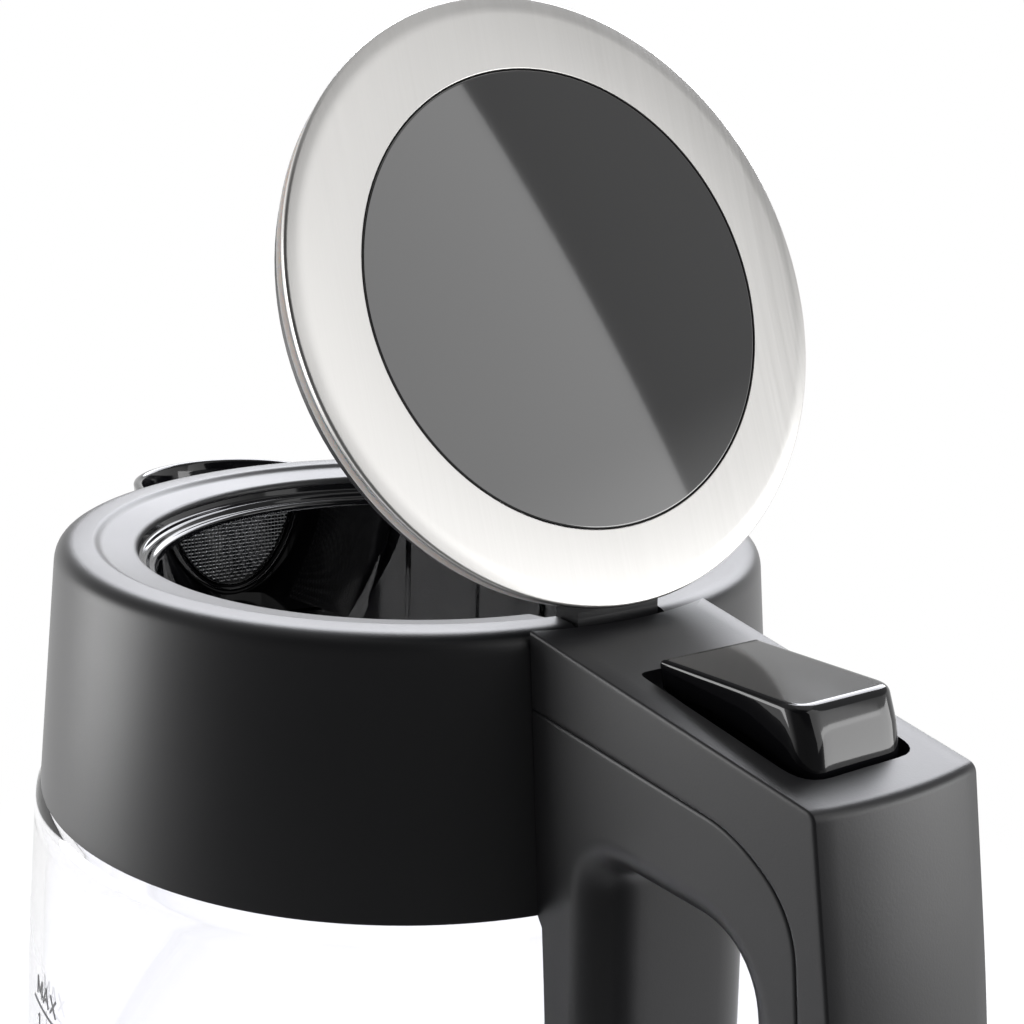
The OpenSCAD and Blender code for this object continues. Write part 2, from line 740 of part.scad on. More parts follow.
base_shell();
base_plate();
base_feet();
base_screws();
cord_gland();
connector_post();
connector_contacts();
base_wires();
socket_body();
socket_contacts();
bottom_housing();
bottom_cover();
bottom_screws();
plate_gasket();
heater_plate();
diffuser_plate();
heating_element();
element_terminals();
control_unit();
control_screws();
bimetal_discs();
glass_jug();
collar_shell();
collar_liner();
collar_gasket();
spout();
handle_shell();
handle_inner();
handle_screws();
steam_tube();
switch_housing();
steam_disc();
switch_wires();
switch_pin();
button_well();
button_pin();
hinge_pin();
lid_spring();
button_spring();
latch_spring();
lid_ring();
lid_disc();
lid_carrier();
lid_cover();
lid_gasket();
lid_screws();
hinge_arm();
release_button();
latch_slider();
switch_lever();
switch_lens();
filter_frame();
filter_mesh();
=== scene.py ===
"""Looks of a cordless glass kettle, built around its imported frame.

Lengths are in millimetres in the kettle's own frame: Z is the jug's axis, the handle points to +X and the
spout to -X. Points become metres when a mesh is made. Every new piece is a surface worked out as whole
numpy arrays: a grid of two parameters, or a profile carried round an axis or along an outline.
"""

import json
import logging
import math
from dataclasses import dataclass, field
from enum import Enum
from typing import Callable, Iterable, Sequence

import bmesh
import bpy
import numpy as np
from mathutils import Matrix, Quaternion, Vector
from mathutils.geometry import tessellate_polygon


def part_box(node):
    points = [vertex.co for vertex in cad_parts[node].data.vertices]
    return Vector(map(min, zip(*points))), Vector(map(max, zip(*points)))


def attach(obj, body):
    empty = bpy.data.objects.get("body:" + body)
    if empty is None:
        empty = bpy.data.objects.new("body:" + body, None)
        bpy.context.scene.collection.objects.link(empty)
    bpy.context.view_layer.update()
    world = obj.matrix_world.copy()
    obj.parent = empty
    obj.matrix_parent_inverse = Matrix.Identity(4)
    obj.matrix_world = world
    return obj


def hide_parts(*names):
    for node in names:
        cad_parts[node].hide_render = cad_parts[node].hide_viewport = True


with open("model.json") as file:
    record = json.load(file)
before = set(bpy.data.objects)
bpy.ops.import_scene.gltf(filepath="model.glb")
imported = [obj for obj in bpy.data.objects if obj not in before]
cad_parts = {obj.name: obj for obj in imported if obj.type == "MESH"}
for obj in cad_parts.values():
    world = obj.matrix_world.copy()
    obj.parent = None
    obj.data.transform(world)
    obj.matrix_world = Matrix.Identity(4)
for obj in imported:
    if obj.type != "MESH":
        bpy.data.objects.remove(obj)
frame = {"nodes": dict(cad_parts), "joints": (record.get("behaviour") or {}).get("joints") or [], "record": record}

logging.basicConfig(level=logging.INFO, format="%(message)s")
log = logging.getLogger("kettle")

MM = 0.001
FLAT_MARGIN = 0.4  # Width of the ring of points that a flat face gets beside its rounded edge
TURN_STEPS = 224  # Steps of a turned surface
FINE_STEPS = 256  # Steps of one that is seen close up
Colour = tuple[float, float, float]
Corner = tuple[float, float, float]


class Body(Enum):
    """The bodies that the new pieces ride on."""

    BASE = "base"
    JUG = "jug"
    LID = "lid"
    BUTTON = "button"
    FILTER = "filter"


# ---- Surfaces ----


@dataclass
class Surface:
    """Points in millimetres and the faces between them."""

    points: np.ndarray
    faces: list[list[int]]

    def moved(self, matrix: Matrix) -> "Surface":
        """The same surface with each point p put at matrix * p."""
        turn = np.array(matrix.to_3x3())
        return Surface(self.points @ turn.T + np.array(matrix.translation), self.faces)

    @staticmethod
    def joined(parts: Sequence["Surface"]) -> "Surface":
        """One surface that holds all the parts, each with its own points.

        Args:
            parts: The surfaces.

        Returns:
            The surface of them all.
        """
        starts = np.cumsum([0] + [len(part.points) for part in parts])
        faces = [[int(start) + i for i in face] for start, part in zip(starts, parts) for face in part.faces]
        return Surface(np.vstack([part.points for part in parts]), faces)


def grid_surface(grid: np.ndarray, close_rows: bool = False, close_cols: bool = False) -> Surface:
    """Quads between the neighbouring points of a grid.

    Args:
        grid: Points, shaped (rows, columns, 3).
        close_rows: Whether the last row joins the first.
        close_cols: Whether the last column joins the first.

    Returns:
        The surface.
    """
    rows, cols = grid.shape[:2]
    row, col = np.meshgrid(np.arange(rows - (not close_rows)), np.arange(cols - (not close_cols)),
                           indexing="ij")
    next_row, next_col = (row + 1) % rows, (col + 1) % cols
    quads = np.stack([row * cols + col, row * cols + next_col, next_row * cols + next_col,
                      next_row * cols + col], -1)
    return Surface(grid.reshape(-1, 3), quads.reshape(-1, 4).tolist())


def rounded(corners: Sequence[Sequence[float]], steps: int = 6) -> np.ndarray:
    """Closed outline whose corners are blended.

    Corner B with blend length t becomes (1-s)^2 P + 2 s (1-s) B + s^2 Q for s from 0 to 1, where P and Q lie
    t before and t after B on its two sides.

    Args:
        corners: Corners as (a, b, blend length).
        steps: Steps along each blend.

    Returns:
        Points, shaped (n, 2).
    """
    table = np.asarray(corners, float)
    here, reach = table[:, None, :2], table[:, None, 2:]
    back, ahead = np.roll(here, 1, 0) - here, np.roll(here, -1, 0) - here
    back = back / np.linalg.norm(back, axis=2, keepdims=True)
    ahead = ahead / np.linalg.norm(ahead, axis=2, keepdims=True)
    s = np.linspace(0, 1, steps + 1)[None, :, None]
    curve = (1 - s) ** 2 * (here + back * reach) + 2 * s * (1 - s) * here + s ** 2 * (here + ahead * reach)
    flat = curve.reshape(-1, 2)
    return flat[np.linalg.norm(flat - np.roll(flat, 1, 0), axis=1) > 1e-6]


def refined(outline: np.ndarray, step: float) -> np.ndarray:
    """A closed outline with points added along its sides, one at each multiple of a step of its length.

    Args:
        outline: The closed outline.
        step: Distance between added points; one that falls close to a corner is left out.

    Returns:
        Points, shaped (n, 2).
    """
    closed = np.vstack([outline, outline[:1]])
    run = np.concatenate([[0.0], np.cumsum(np.linalg.norm(np.diff(closed, axis=0), axis=1))])
    extra = np.arange(0, run[-1], step)
    extra = extra[np.abs(extra[:, None] - run).min(1) > 0.3 * step]
    marks = np.sort(np.concatenate([run[:-1], extra]))
    return np.stack([np.interp(marks, run, closed[:, axis]) for axis in (0, 1)], 1)


def signed_area(outline: np.ndarray) -> float:
    """Area inside a closed outline, positive where it runs anticlockwise."""
    a, b = outline, np.roll(outline, -1, 0)
    return float((a[:, 0] * b[:, 1] - a[:, 1] * b[:, 0]).sum()) / 2


def shrunk(outline: np.ndarray, distance: float) -> np.ndarray:
    """The outline moved inward: each point goes by d (m + n) / (1 + m.n), with m and n its sides' normals.

    Args:
        outline: The closed outline.
        distance: How far inward; a negative distance moves it outward.

    Returns:
        As many points as the outline has.
    """
    ahead = np.roll(outline, -1, 0) - outline
    ahead = ahead / np.linalg.norm(ahead, axis=1, keepdims=True)
    normal = np.stack([-ahead[:, 1], ahead[:, 0]], 1) * math.copysign(1.0, signed_area(outline))
    other = np.roll(normal, 1, 0)
    spread = np.maximum(1 + (normal * other).sum(1, keepdims=True), 0.4)
    return outline + distance * (normal + other) / spread


def revolved(profile: np.ndarray, segments: int = 160, closed: bool = True) -> Surface:
    """A profile of (radius r, height z) turned round Z: (r cos a, r sin a, z) for a over a full turn.

    Args:
        profile: Points as (radius, height), anticlockwise where the profile is closed.
        segments: Steps of the turn.
        closed: Whether the profile's last point joins its first; if not, both lie on the axis.

    Returns:
        The surface.
    """
    angle = np.linspace(0, 2 * math.pi, segments, endpoint=False)[:, None]
    radius, height = profile[None, :, 0], profile[None, :, 1]
    grid = np.stack([radius * np.cos(angle), radius * np.sin(angle), height + 0 * angle], -1)
    return grid_surface(grid, close_rows=True, close_cols=closed)


@dataclass(frozen=True)
class EdgeRound:
    """How far a slab's rounded edge goes in from its outline and how far down its wall."""

    inset: float
    drop: float


def rounded_slab(loops: Sequence[np.ndarray], edges: Sequence[EdgeRound],
                 half_width: Callable[[np.ndarray], np.ndarray], steps: int = 5, across: int = 1) -> Surface:
    """A plate in X and Z with rounded edges, mirrored about the XZ plane.

    The wall follows each outline across Y. At the edge's angle a, from 0 to 90 degrees, the outline lies
    inset (1 - cos a) inside and drop (1 - sin a) below the face. The faces are flat, and a ring of points
    FLAT_MARGIN inside a rounded edge keeps its shading off them.

    Args:
        loops: Closed outlines in X and Z: the outer one, then any holes.
        edges: One rounding for each outline.
        half_width: Gives half the width for an array of X.
        steps: Steps round each edge.
        across: Rows of points across the wall.

    Returns:
        The closed surface.
    """
    turn = np.linspace(0, math.pi / 2, steps + 1)
    walls, caps = [], []
    for index, (loop, edge) in enumerate(zip(loops, edges)):
        side = 1 if index == 0 else -1
        insets = np.append(edge.inset * (1 - np.cos(turn)), edge.inset + FLAT_MARGIN * (edge.inset > 0))
        rims = np.stack([shrunk(loop, side * inset) for inset in insets])
        height = half_width(rims[..., 0]) - np.append(edge.drop * (1 - np.sin(turn)), 0.0)[:, None]
        level = np.linspace(-1, 1, across + 2)[1:-1, None]
        middle = np.repeat(rims[:1], across, axis=0)
        plan = np.concatenate([rims[::-1], middle, rims])
        depth = np.concatenate([-height[::-1], level * height[:1], height])
        walls.append(grid_surface(np.stack([plan[..., 0], depth, plan[..., 1]], -1), close_cols=True))
        caps.append(rims[-1])
    starts = np.cumsum([0] + [len(wall.points) for wall in walls])
    first = np.concatenate([start + np.arange(len(cap)) for start, cap in zip(starts, caps)])
    last = np.concatenate([start + len(wall.points) - len(cap) + np.arange(len(cap))
                           for start, wall, cap in zip(starts, walls, caps)])
    triangles = np.array(tessellate_polygon([[Vector((*p, 0)) for p in cap] for cap in caps]))
    body = Surface.joined(walls)
    return Surface(body.points, body.faces + first[triangles].tolist() + last[triangles].tolist())


def upright_prism(outline: np.ndarray, low: float, high: float) -> Surface:
    """An upright prism over an outline in X and Y: a slab with sharp edges, stood up by swapping Y and Z.

    Args:
        outline: Its closed plan.
        low: Height of its foot.
        high: Height of its top.

    Returns:
        The closed surface.
    """
    middle, half = (low + high) / 2, (high - low) / 2
    slab = rounded_slab([outline], [EdgeRound(0.0, 0.0)], lambda x: 0 * x + half, 1)
    return Surface(slab.points[:, [0, 2, 1]] + [0, 0, middle], slab.faces)


def straight_bar(ring: np.ndarray, reach: Sequence[float]) -> Surface:
    """A ring of points carried along a straight line: its second end is ring + reach.

    Args:
        ring: Points round the bar's first end.
        reach: The way from one end to the other.

    Returns:
        The surface, closed at both ends.
    """
    wall = grid_surface(np.stack([ring, ring + reach]), close_cols=True)
    count = len(ring)
    return Surface(wall.points, wall.faces + [list(range(count))[::-1], list(range(count, 2 * count))])


def tubes(paths: np.ndarray, radius: float, sides: int = 4) -> Surface:
    """Wires along straight or wavy paths.

    Point j of ring i is path(i) + radius (cos b u + sin b v), with b = 2 pi j / sides, and u and v across
    the path.

    Args:
        paths: Points along each wire's middle, shaped (wires, steps, 3).
        radius: The wire's radius.
        sides: Sides of its section.

    Returns:
        One surface with every wire closed at both ends.
    """
    ahead = np.gradient(paths, axis=1)
    ahead = ahead / np.linalg.norm(ahead, axis=2, keepdims=True)
    u = np.cross(ahead, np.array([1.0, 0.2, 0.1]))
    u = u / np.linalg.norm(u, axis=2, keepdims=True)
    v = np.cross(ahead, u)
    angle = np.arange(sides) * 2 * math.pi / sides
    ring = (paths[:, :, None] + radius * (np.cos(angle)[:, None] * u[:, :, None]
                                          + np.sin(angle)[:, None] * v[:, :, None]))
    parts = []
    for wire in ring:
        tube = grid_surface(wire, close_cols=True)
        end = len(tube.points) - sides
        ends = [list(range(sides))[::-1], list(range(end, end + sides))]
        parts.append(Surface(tube.points, tube.faces + ends))
    return Surface.joined(parts)


# ---- Pieces ----


def new_mesh(name: str, surface: Surface) -> bpy.types.Object:
    """A mesh object at the origin, its doubles merged and its faces turned outward.

    Args:
        name: The object's name.
        surface: Its surface, in millimetres.

    Returns:
        The object, linked to the scene.
    """
    mesh = bpy.data.meshes.new(name)
    mesh.from_pydata((surface.points * MM).tolist(), [], surface.faces)
    work = bmesh.new()
    work.from_mesh(mesh)
    bmesh.ops.remove_doubles(work, verts=work.verts, dist=1e-6)
    bmesh.ops.dissolve_degenerate(work, edges=work.edges, dist=1e-7)
    bmesh.ops.recalc_face_normals(work, faces=work.faces)
    work.to_mesh(mesh)
    work.free()
    piece = bpy.data.objects.new(name, mesh)
    bpy.context.scene.collection.objects.link(piece)
    return piece


def carve(piece: bpy.types.Object, cutters: Iterable[Surface]) -> None:
    """Cuts solids out of a piece, one after another.

    Args:
        piece: The piece to cut, which keeps its name.
        cutters: Closed surfaces.
    """
    for number, cutter in enumerate(cutters):
        tool = new_mesh(f"cutter_{number}", cutter)
        cut = piece.modifiers.new("cut", "BOOLEAN")
        cut.object, cut.operation, cut.solver = tool, "DIFFERENCE", "EXACT"
        bpy.context.view_layer.update()
        result = bpy.data.meshes.new_from_object(piece.evaluated_get(bpy.context.evaluated_depsgraph_get()))
        piece.modifiers.clear()
        before, piece.data = piece.data, result
        bpy.data.meshes.remove(before)
        bpy.data.meshes.remove(tool.data)


def add_piece(name: str, surface: Surface, material: bpy.types.Material, body: Body,
              stands_for: Sequence[str] = (), cutters: Iterable[Surface] = (),
              crease: float = 32.0) -> bpy.types.Object:
    """Makes a finished piece that rides on a body.

    Args:
        name: The piece's name.
        surface: Its closed surface.
        material: Its finish.
        body: The body that it moves with.
        stands_for: CAD nodes that it replaces.
        cutters: Solids cut out of it.
        crease: Angle in degrees above which an edge stays sharp.

    Returns:
        The piece.
    """
    piece = new_mesh(name, surface)
    carve(piece, cutters)
    piece.data.materials.clear()
    piece.data.materials.append(material)
    piece.data.shade_smooth()
    piece.data.set_sharp_from_angle(angle=math.radians(crease))
    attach(piece, body.value)
    if stands_for:
        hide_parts(*stands_for)
    log.info("%s: %d faces, rides on %s", name, len(piece.data.polygons), body.value)
    return piece


def low_corner(node: str) -> np.ndarray:
    """A CAD node's lowest corner, in millimetres."""
    return np.array(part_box(node)[0]) / MM


def high_corner(node: str) -> np.ndarray:
    """A CAD node's highest corner, in millimetres."""
    return np.array(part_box(node)[1]) / MM


# ---- Finishes ----


class ShaderTree:
    """Adds nodes to one node tree and links them."""

    def __init__(self, tree: bpy.types.NodeTree) -> None:
        """Keeps the tree."""
        self.tree = tree

    def add(self, kind: str, **values: object) -> bpy.types.Node:
        """Adds a node.

        Args:
            kind: The node's type without its "ShaderNode" prefix.
            values: Properties, or inputs where the name matches an input: a socket is linked, others are set.

        Returns:
            The node.
        """
        prefix = "" if kind.startswith("Node") else "ShaderNode"
        node = self.tree.nodes.new(prefix + kind)
        later = {}
        for key, value in values.items():
            if hasattr(node, key) and key[0].islower():
                setattr(node, key, value)
            else:
                later[key] = value
        names = {socket.name.replace(" ", "_"): socket
                 for socket in reversed(node.inputs) if socket.enabled} | {
                     f"in{i}": socket for i, socket in enumerate(node.inputs)}
        for key, value in later.items():
            if isinstance(value, bpy.types.NodeSocket):
                self.tree.links.new(value, names[key])
            else:
                names[key].default_value = value
        return node

    def math(self, operation: str, a: object, b: object = 0.0) -> bpy.types.NodeSocket:
        """The output of a Math node on two values or sockets."""
        return self.add("Math", operation=operation, in0=a, in1=b).outputs[0]

    def mix(self, share: object, a: object, b: object) -> bpy.types.NodeSocket:
        """The output of a colour mix from a to b."""
        node = self.add("Mix", data_type="RGBA", in0=share, in6=a, in7=b)
        return node.outputs[2]


def rgba(colour: Colour) -> tuple[float, float, float, float]:
    """A colour with full alpha."""
    return (*colour, 1.0)


class SharedEffects:
    """Shader node groups that several finishes use, each built once."""

    def __init__(self) -> None:
        """Builds the groups."""
        self.moulded = self._moulded()
        self.handling = self._handling()
        self.brushed = self._brushed()

    @staticmethod
    def _group(name: str, inputs: dict[str, str],
               outputs: dict[str, str]) -> tuple[ShaderTree, bpy.types.Node, bpy.types.Node]:
        """Makes an empty group.

        Args:
            name: The group's name.
            inputs: Socket type by name of each input.
            outputs: Socket type by name of each output.

        Returns:
            The group's tree, its input node and its output node.
        """
        tree = bpy.data.node_groups.new(name, "ShaderNodeTree")
        for label, kind in inputs.items():
            tree.interface.new_socket(label, in_out="INPUT", socket_type=kind)
        for label, kind in outputs.items():
            tree.interface.new_socket(label, in_out="OUTPUT", socket_type=kind)
        shader = ShaderTree(tree)
        return shader, shader.add("NodeGroupInput"), shader.add("NodeGroupOutput")

    def _moulded(self) -> bpy.types.NodeTree:
        """Spark-eroded plastic: a fine pebbled height, faint flow clouds in its colour and its roughness.

        Returns:
            The group, which gives a colour, a roughness and a height.
        """
        shader, given, result = self._group(
            "moulded_grain",
            {"Base": "NodeSocketColor", "Scale": "NodeSocketFloat", "Tone": "NodeSocketFloat",
             "Rough": "NodeSocketFloat"},
            {"Colour": "NodeSocketColor", "Roughness": "NodeSocketFloat", "Height": "NodeSocketFloat"})
        where = shader.add("TexCoord").outputs["Object"]
        pebbles = shader.add("TexNoise", Vector=where, Scale=given.outputs["Scale"], Detail=2.0,
                             Roughness=0.6).outputs[0]
        clouds = shader.add("TexNoise", Vector=where, Scale=22.0, Detail=3.0, Roughness=0.5).outputs[0]
        lighter = shader.add("MixRGB", blend_type="MULTIPLY", Fac=1.0, Color1=given.outputs["Base"],
                             Color2=(1.25, 1.25, 1.28, 1.0)).outputs[0]
        share = shader.math("MULTIPLY", clouds, given.outputs["Tone"])
        colour = shader.mix(share, given.outputs["Base"], lighter)
        swing = shader.math("MULTIPLY", shader.math("SUBTRACT", clouds, 0.5), 0.12)
        rough = shader.math("ADD", given.outputs["Rough"], swing)
        for label, socket in (("Colour", colour), ("Roughness", rough), ("Height", pebbles)):
            shader.tree.links.new(socket, result.inputs[label])
        return shader.tree

    def _handling(self) -> bpy.types.NodeTree:
        """Faint marks of handling on a polished face: soft smears that raise the roughness a little.

        Returns:
            The group, which gives a roughness and a height.
        """
        shader, given, result = self._group(
            "handling_marks",
            {"Rough": "NodeSocketFloat", "Amount": "NodeSocketFloat", "Scale": "NodeSocketFloat"},
            {"Roughness": "NodeSocketFloat", "Height": "NodeSocketFloat"})
        where = shader.add("TexCoord").outputs["Object"]
        smear = shader.add("TexNoise", Vector=where, Scale=given.outputs["Scale"], Detail=5.0, Roughness=0.62,
                           Distortion=0.6).outputs[0]
        mask = shader.add("MapRange", Value=smear, From_Min=0.52, From_Max=0.78, To_Min=0.0,
                          To_Max=1.0).outputs[0]
        rough = shader.math("ADD", given.outputs["Rough"],
                            shader.math("MULTIPLY", mask, given.outputs["Amount"]))
        shader.tree.links.new(rough, result.inputs["Roughness"])
        shader.tree.links.new(smear, result.inputs["Height"])
        return shader.tree

    def _brushed(self) -> bpy.types.NodeTree:
        """Brushed metal: fine streaks along the mapped X, in colour, roughness and height.

        Returns:
            The group, which gives a colour, a roughness and a height.
        """
        shader, given, result = self._group(
            "brushed_streaks",
            {"Vector": "NodeSocketVector", "Base": "NodeSocketColor", "Rough": "NodeSocketFloat"},
            {"Colour": "NodeSocketColor", "Roughness": "NodeSocketFloat", "Height": "NodeSocketFloat"})
        stretched = shader.add("Mapping", Vector=given.outputs["Vector"], Scale=(14.0, 1500.0, 300.0))
        streak = shader.add("TexNoise", Vector=stretched.outputs[0], Scale=1.0, Detail=3.0,
                            Roughness=0.7).outputs[0]
        cloud = shader.add("TexNoise", Vector=given.outputs["Vector"], Scale=30.0, Detail=2.0).outputs[0]
        darker = shader.add("MixRGB", blend_type="MULTIPLY", Fac=1.0, Color1=given.outputs["Base"],
                            Color2=(0.9, 0.9, 0.895, 1.0)).outputs[0]
        colour = shader.mix(streak, darker, given.outputs["Base"])
        swing = shader.math("MULTIPLY", shader.math("SUBTRACT", streak, 0.5), 0.16)
        patch = shader.math("MULTIPLY", shader.math("SUBTRACT", cloud, 0.5), 0.08)
        rough = shader.math("ADD", given.outputs["Rough"], shader.math("ADD", swing, patch))
        for label, socket in (("Colour", colour), ("Roughness", rough), ("Height", streak)):
            shader.tree.links.new(socket, result.inputs[label])
        return shader.tree


@dataclass(frozen=True)
class Finish:
    """A finish with its colour and roughness; each kind builds its own nodes."""

    name: str
    colour: Colour
    roughness: float = 0.4

    def _start(self) -> tuple[bpy.types.Material, ShaderTree, bpy.types.Node]:
        """Starts the finish's material.

        Returns:
            The material, its tree and its Principled shader.
        """
        material = bpy.data.materials.new(self.name)
        material.use_nodes = True
        shader = ShaderTree(material.node_tree)
        surface = material.node_tree.nodes["Principled BSDF"]
        return material, shader, surface

    @staticmethod
    def _bump(shader: ShaderTree, surface: bpy.types.Node, height: bpy.types.NodeSocket, strength: float,
              distance: float) -> None:
        """Feeds a height to the shader's normal.

        Args:
            shader: The material's tree.
            surface: Its Principled shader.
            height: The height that the bump follows.
            strength: The bump's strength.
            distance: The height's full depth, in metres.
        """
        bump = shader.add("Bump", Strength=strength, Distance=distance, Height=height)
        shader.tree.links.new(bump.outputs[0], surface.inputs["Normal"])

    def build(self, effects: SharedEffects) -> bpy.types.Material:
        """Builds the finish's material.

        Args:
            effects: The shared node groups.

        Returns:
            The material.
        """
        raise NotImplementedError


@dataclass(frozen=True)
class MouldedPlastic(Finish):
    """Matt or satin moulded plastic with a fine eroded grain."""

    grain: float = 2600.0
    depth: float = 0.00003
    tone: float = 0.5
    relief: float = 0.35
    specular: float = 0.4
    scatter: float = 0.0

    def build(self, effects: SharedEffects) -> bpy.types.Material:
        """Builds the finish's material.

        Args:
            effects: The shared node groups.

        Returns:
            The material.
        """
        material, shader, surface = self._start()
        grain = shader.add("Group", node_tree=effects.moulded, Base=rgba(self.colour), Scale=self.grain,
                           Tone=self.tone, Rough=self.roughness)
        shader.tree.links.new(grain.outputs["Colour"], surface.inputs["Base Color"])
        shader.tree.links.new(grain.outputs["Roughness"], surface.inputs["Roughness"])
        surface.inputs["Specular IOR Level"].default_value = self.specular
        surface.inputs["Subsurface Weight"].default_value = self.scatter
        self._bump(shader, surface, grain.outputs["Height"], self.relief, self.depth)
        return material


@dataclass(frozen=True)
class PolishedPlastic(Finish):
    """Glossy plastic or lacquered glass with faint handling marks."""

    marks: float = 0.06
    marks_scale: float = 26.0
    coat: float = 0.0
    coat_roughness: float = 0.03
    specular: float = 0.5

    def build(self, effects: SharedEffects) -> bpy.types.Material:
        """Builds the finish's material.

        Args:
            effects: The shared node groups.

        Returns:
            The material.
        """
        material, shader, surface = self._start()
        marks = shader.add("Group", node_tree=effects.handling, Rough=self.roughness, Amount=self.marks,
                           Scale=self.marks_scale)
        tint = shader.mix(marks.outputs["Height"], rgba(self.colour),
                          rgba(tuple(1.18 * channel for channel in self.colour)))
        shader.tree.links.new(tint, surface.inputs["Base Color"])
        shader.tree.links.new(marks.outputs["Roughness"], surface.inputs["Roughness"])
        surface.inputs["Specular IOR Level"].default_value = self.specular
        surface.inputs["Coat Weight"].default_value = self.coat
        surface.inputs["Coat Roughness"].default_value = self.coat_roughness
        self._bump(shader, surface, marks.outputs["Height"], 0.04, 0.0002)
        return material


@dataclass(frozen=True)
class BrushedMetal(Finish):
    """Metal brushed in one direction."""

    lean: float = 0.0
    depth: float = 0.00002

    def build(self, effects: SharedEffects) -> bpy.types.Material:
        """Builds the finish's material.

        Args:
            effects: The shared node groups.

        Returns:
            The material.
        """
        material, shader, surface = self._start()
        where = shader.add("TexCoord").outputs["Object"]
        turned = shader.add("Mapping", Vector=where, Rotation=(0.0, self.lean, 0.0))
        streaks = shader.add("Group", node_tree=effects.brushed, Vector=turned.outputs[0],
                             Base=rgba(self.colour), Rough=self.roughness)
        shader.tree.links.new(streaks.outputs["Colour"], surface.inputs["Base Color"])
        shader.tree.links.new(streaks.outputs["Roughness"], surface.inputs["Roughness"])
        surface.inputs["Metallic"].default_value = 1.0
        self._bump(shader, surface, streaks.outputs["Height"], 0.25, self.depth)
        return material


@dataclass(frozen=True)
class PlainMetal(Finish):
    """Drawn, pressed or plated metal with faint clouds of oxide and handling marks."""

    tarnish: float = 0.25
    marks: float = 0.12
    marks_scale: float = 60.0

    def build(self, effects: SharedEffects) -> bpy.types.Material:
        """Builds the finish's material.

        Args:
            effects: The shared node groups.

        Returns:
            The material.
        """
        material, shader, surface = self._start()
        marks = shader.add("Group", node_tree=effects.handling, Rough=self.roughness, Amount=self.marks,
                           Scale=self.marks_scale)
        dull = rgba(tuple((1 - self.tarnish) * channel for channel in self.colour))
        tint = shader.mix(marks.outputs["Height"], dull, rgba(self.colour))
        shader.tree.links.new(tint, surface.inputs["Base Color"])
        shader.tree.links.new(marks.outputs["Roughness"], surface.inputs["Roughness"])
        surface.inputs["Metallic"].default_value = 1.0
        self._bump(shader, surface, marks.outputs["Height"], 0.1, 0.0001)
        return material


@dataclass(frozen=True)
class ClearGlass(Finish):
    """Clear glass or a clear plastic lens."""

    index: float = 1.47
    wave_scale: float = 14.0
    wave_depth: float = 0.0006

    def build(self, effects: SharedEffects) -> bpy.types.Material:
        """Builds the finish's material.

        Args:
            effects: The shared node groups; not used by this finish.

        Returns:
            The material.
        """
        material, shader, surface = self._start()
        where = shader.add("TexCoord").outputs["Object"]
        wave = shader.add("TexNoise", Vector=where, Scale=self.wave_scale, Detail=1.0).outputs[0]
        surface.inputs["Base Color"].default_value = rgba(self.colour)
        surface.inputs["Roughness"].default_value = self.roughness
        surface.inputs["IOR"].default_value = self.index
        surface.inputs["Transmission Weight"].default_value = 1.0
        self._bump(shader, surface, wave, 0.05, self.wave_depth)
        return material


class FinishSet:
    """All the finishes of the kettle, by slot of the record."""

    lid_lean: float = math.radians(68.0)

    def __init__(self) -> None:
        """Builds every material once."""
        effects = SharedEffects()
        listed = [
            MouldedPlastic("charcoal_plastic", (0.017, 0.017, 0.0188), 0.38, specular=0.5),
            MouldedPlastic("dark_plastic", (0.014, 0.014, 0.016), 0.36, grain=1800.0),
            PolishedPlastic("gloss_plastic", (0.006, 0.006, 0.0072), 0.07, marks=0.04),
            PolishedPlastic("dark_glass", (0.02, 0.02, 0.021), 0.05, marks=0.015, specular=1.0, coat=1.0),
            ClearGlass("clear_glass", (0.972, 0.97, 0.985), 0.0),
            BrushedMetal("brushed_steel", (0.70, 0.69, 0.676), 0.34, lean=-self.lid_lean),
            PlainMetal("bright_steel", (0.66, 0.66, 0.67), 0.2),
            PlainMetal("steel_mesh", (0.62, 0.62, 0.63), 0.3),
            PlainMetal("brass", (0.78, 0.57, 0.25), 0.25),
            PlainMetal("bimetal", (0.66, 0.5, 0.34), 0.35),
            PlainMetal("aluminium", (0.76, 0.77, 0.78), 0.38),
            PlainMetal("element_metal", (0.42, 0.4, 0.37), 0.5, tarnish=0.5),
            MouldedPlastic("white_plastic", (0.76, 0.75, 0.71), 0.45, grain=1500.0),
            MouldedPlastic("silicone", (0.62, 0.64, 0.65), 0.5, grain=900.0, scatter=0.3),
            MouldedPlastic("black_rubber", (0.018, 0.018, 0.019), 0.7, grain=1200.0),
            MouldedPlastic("wire_insulation", (0.42, 0.1, 0.06), 0.42, grain=1500.0),
            ClearGlass("lens", (0.3, 0.5, 0.85), 0.15, index=1.5),
            MouldedPlastic("printed_mark", (0.2, 0.2, 0.205), 0.6, grain=4000.0),
        ]
        self.materials = {finish.name: finish.build(effects) for finish in listed}

    def __getitem__(self, slot: str) -> bpy.types.Material:
        """The material of a slot."""
        return self.materials[slot]


# ---- Studio ----


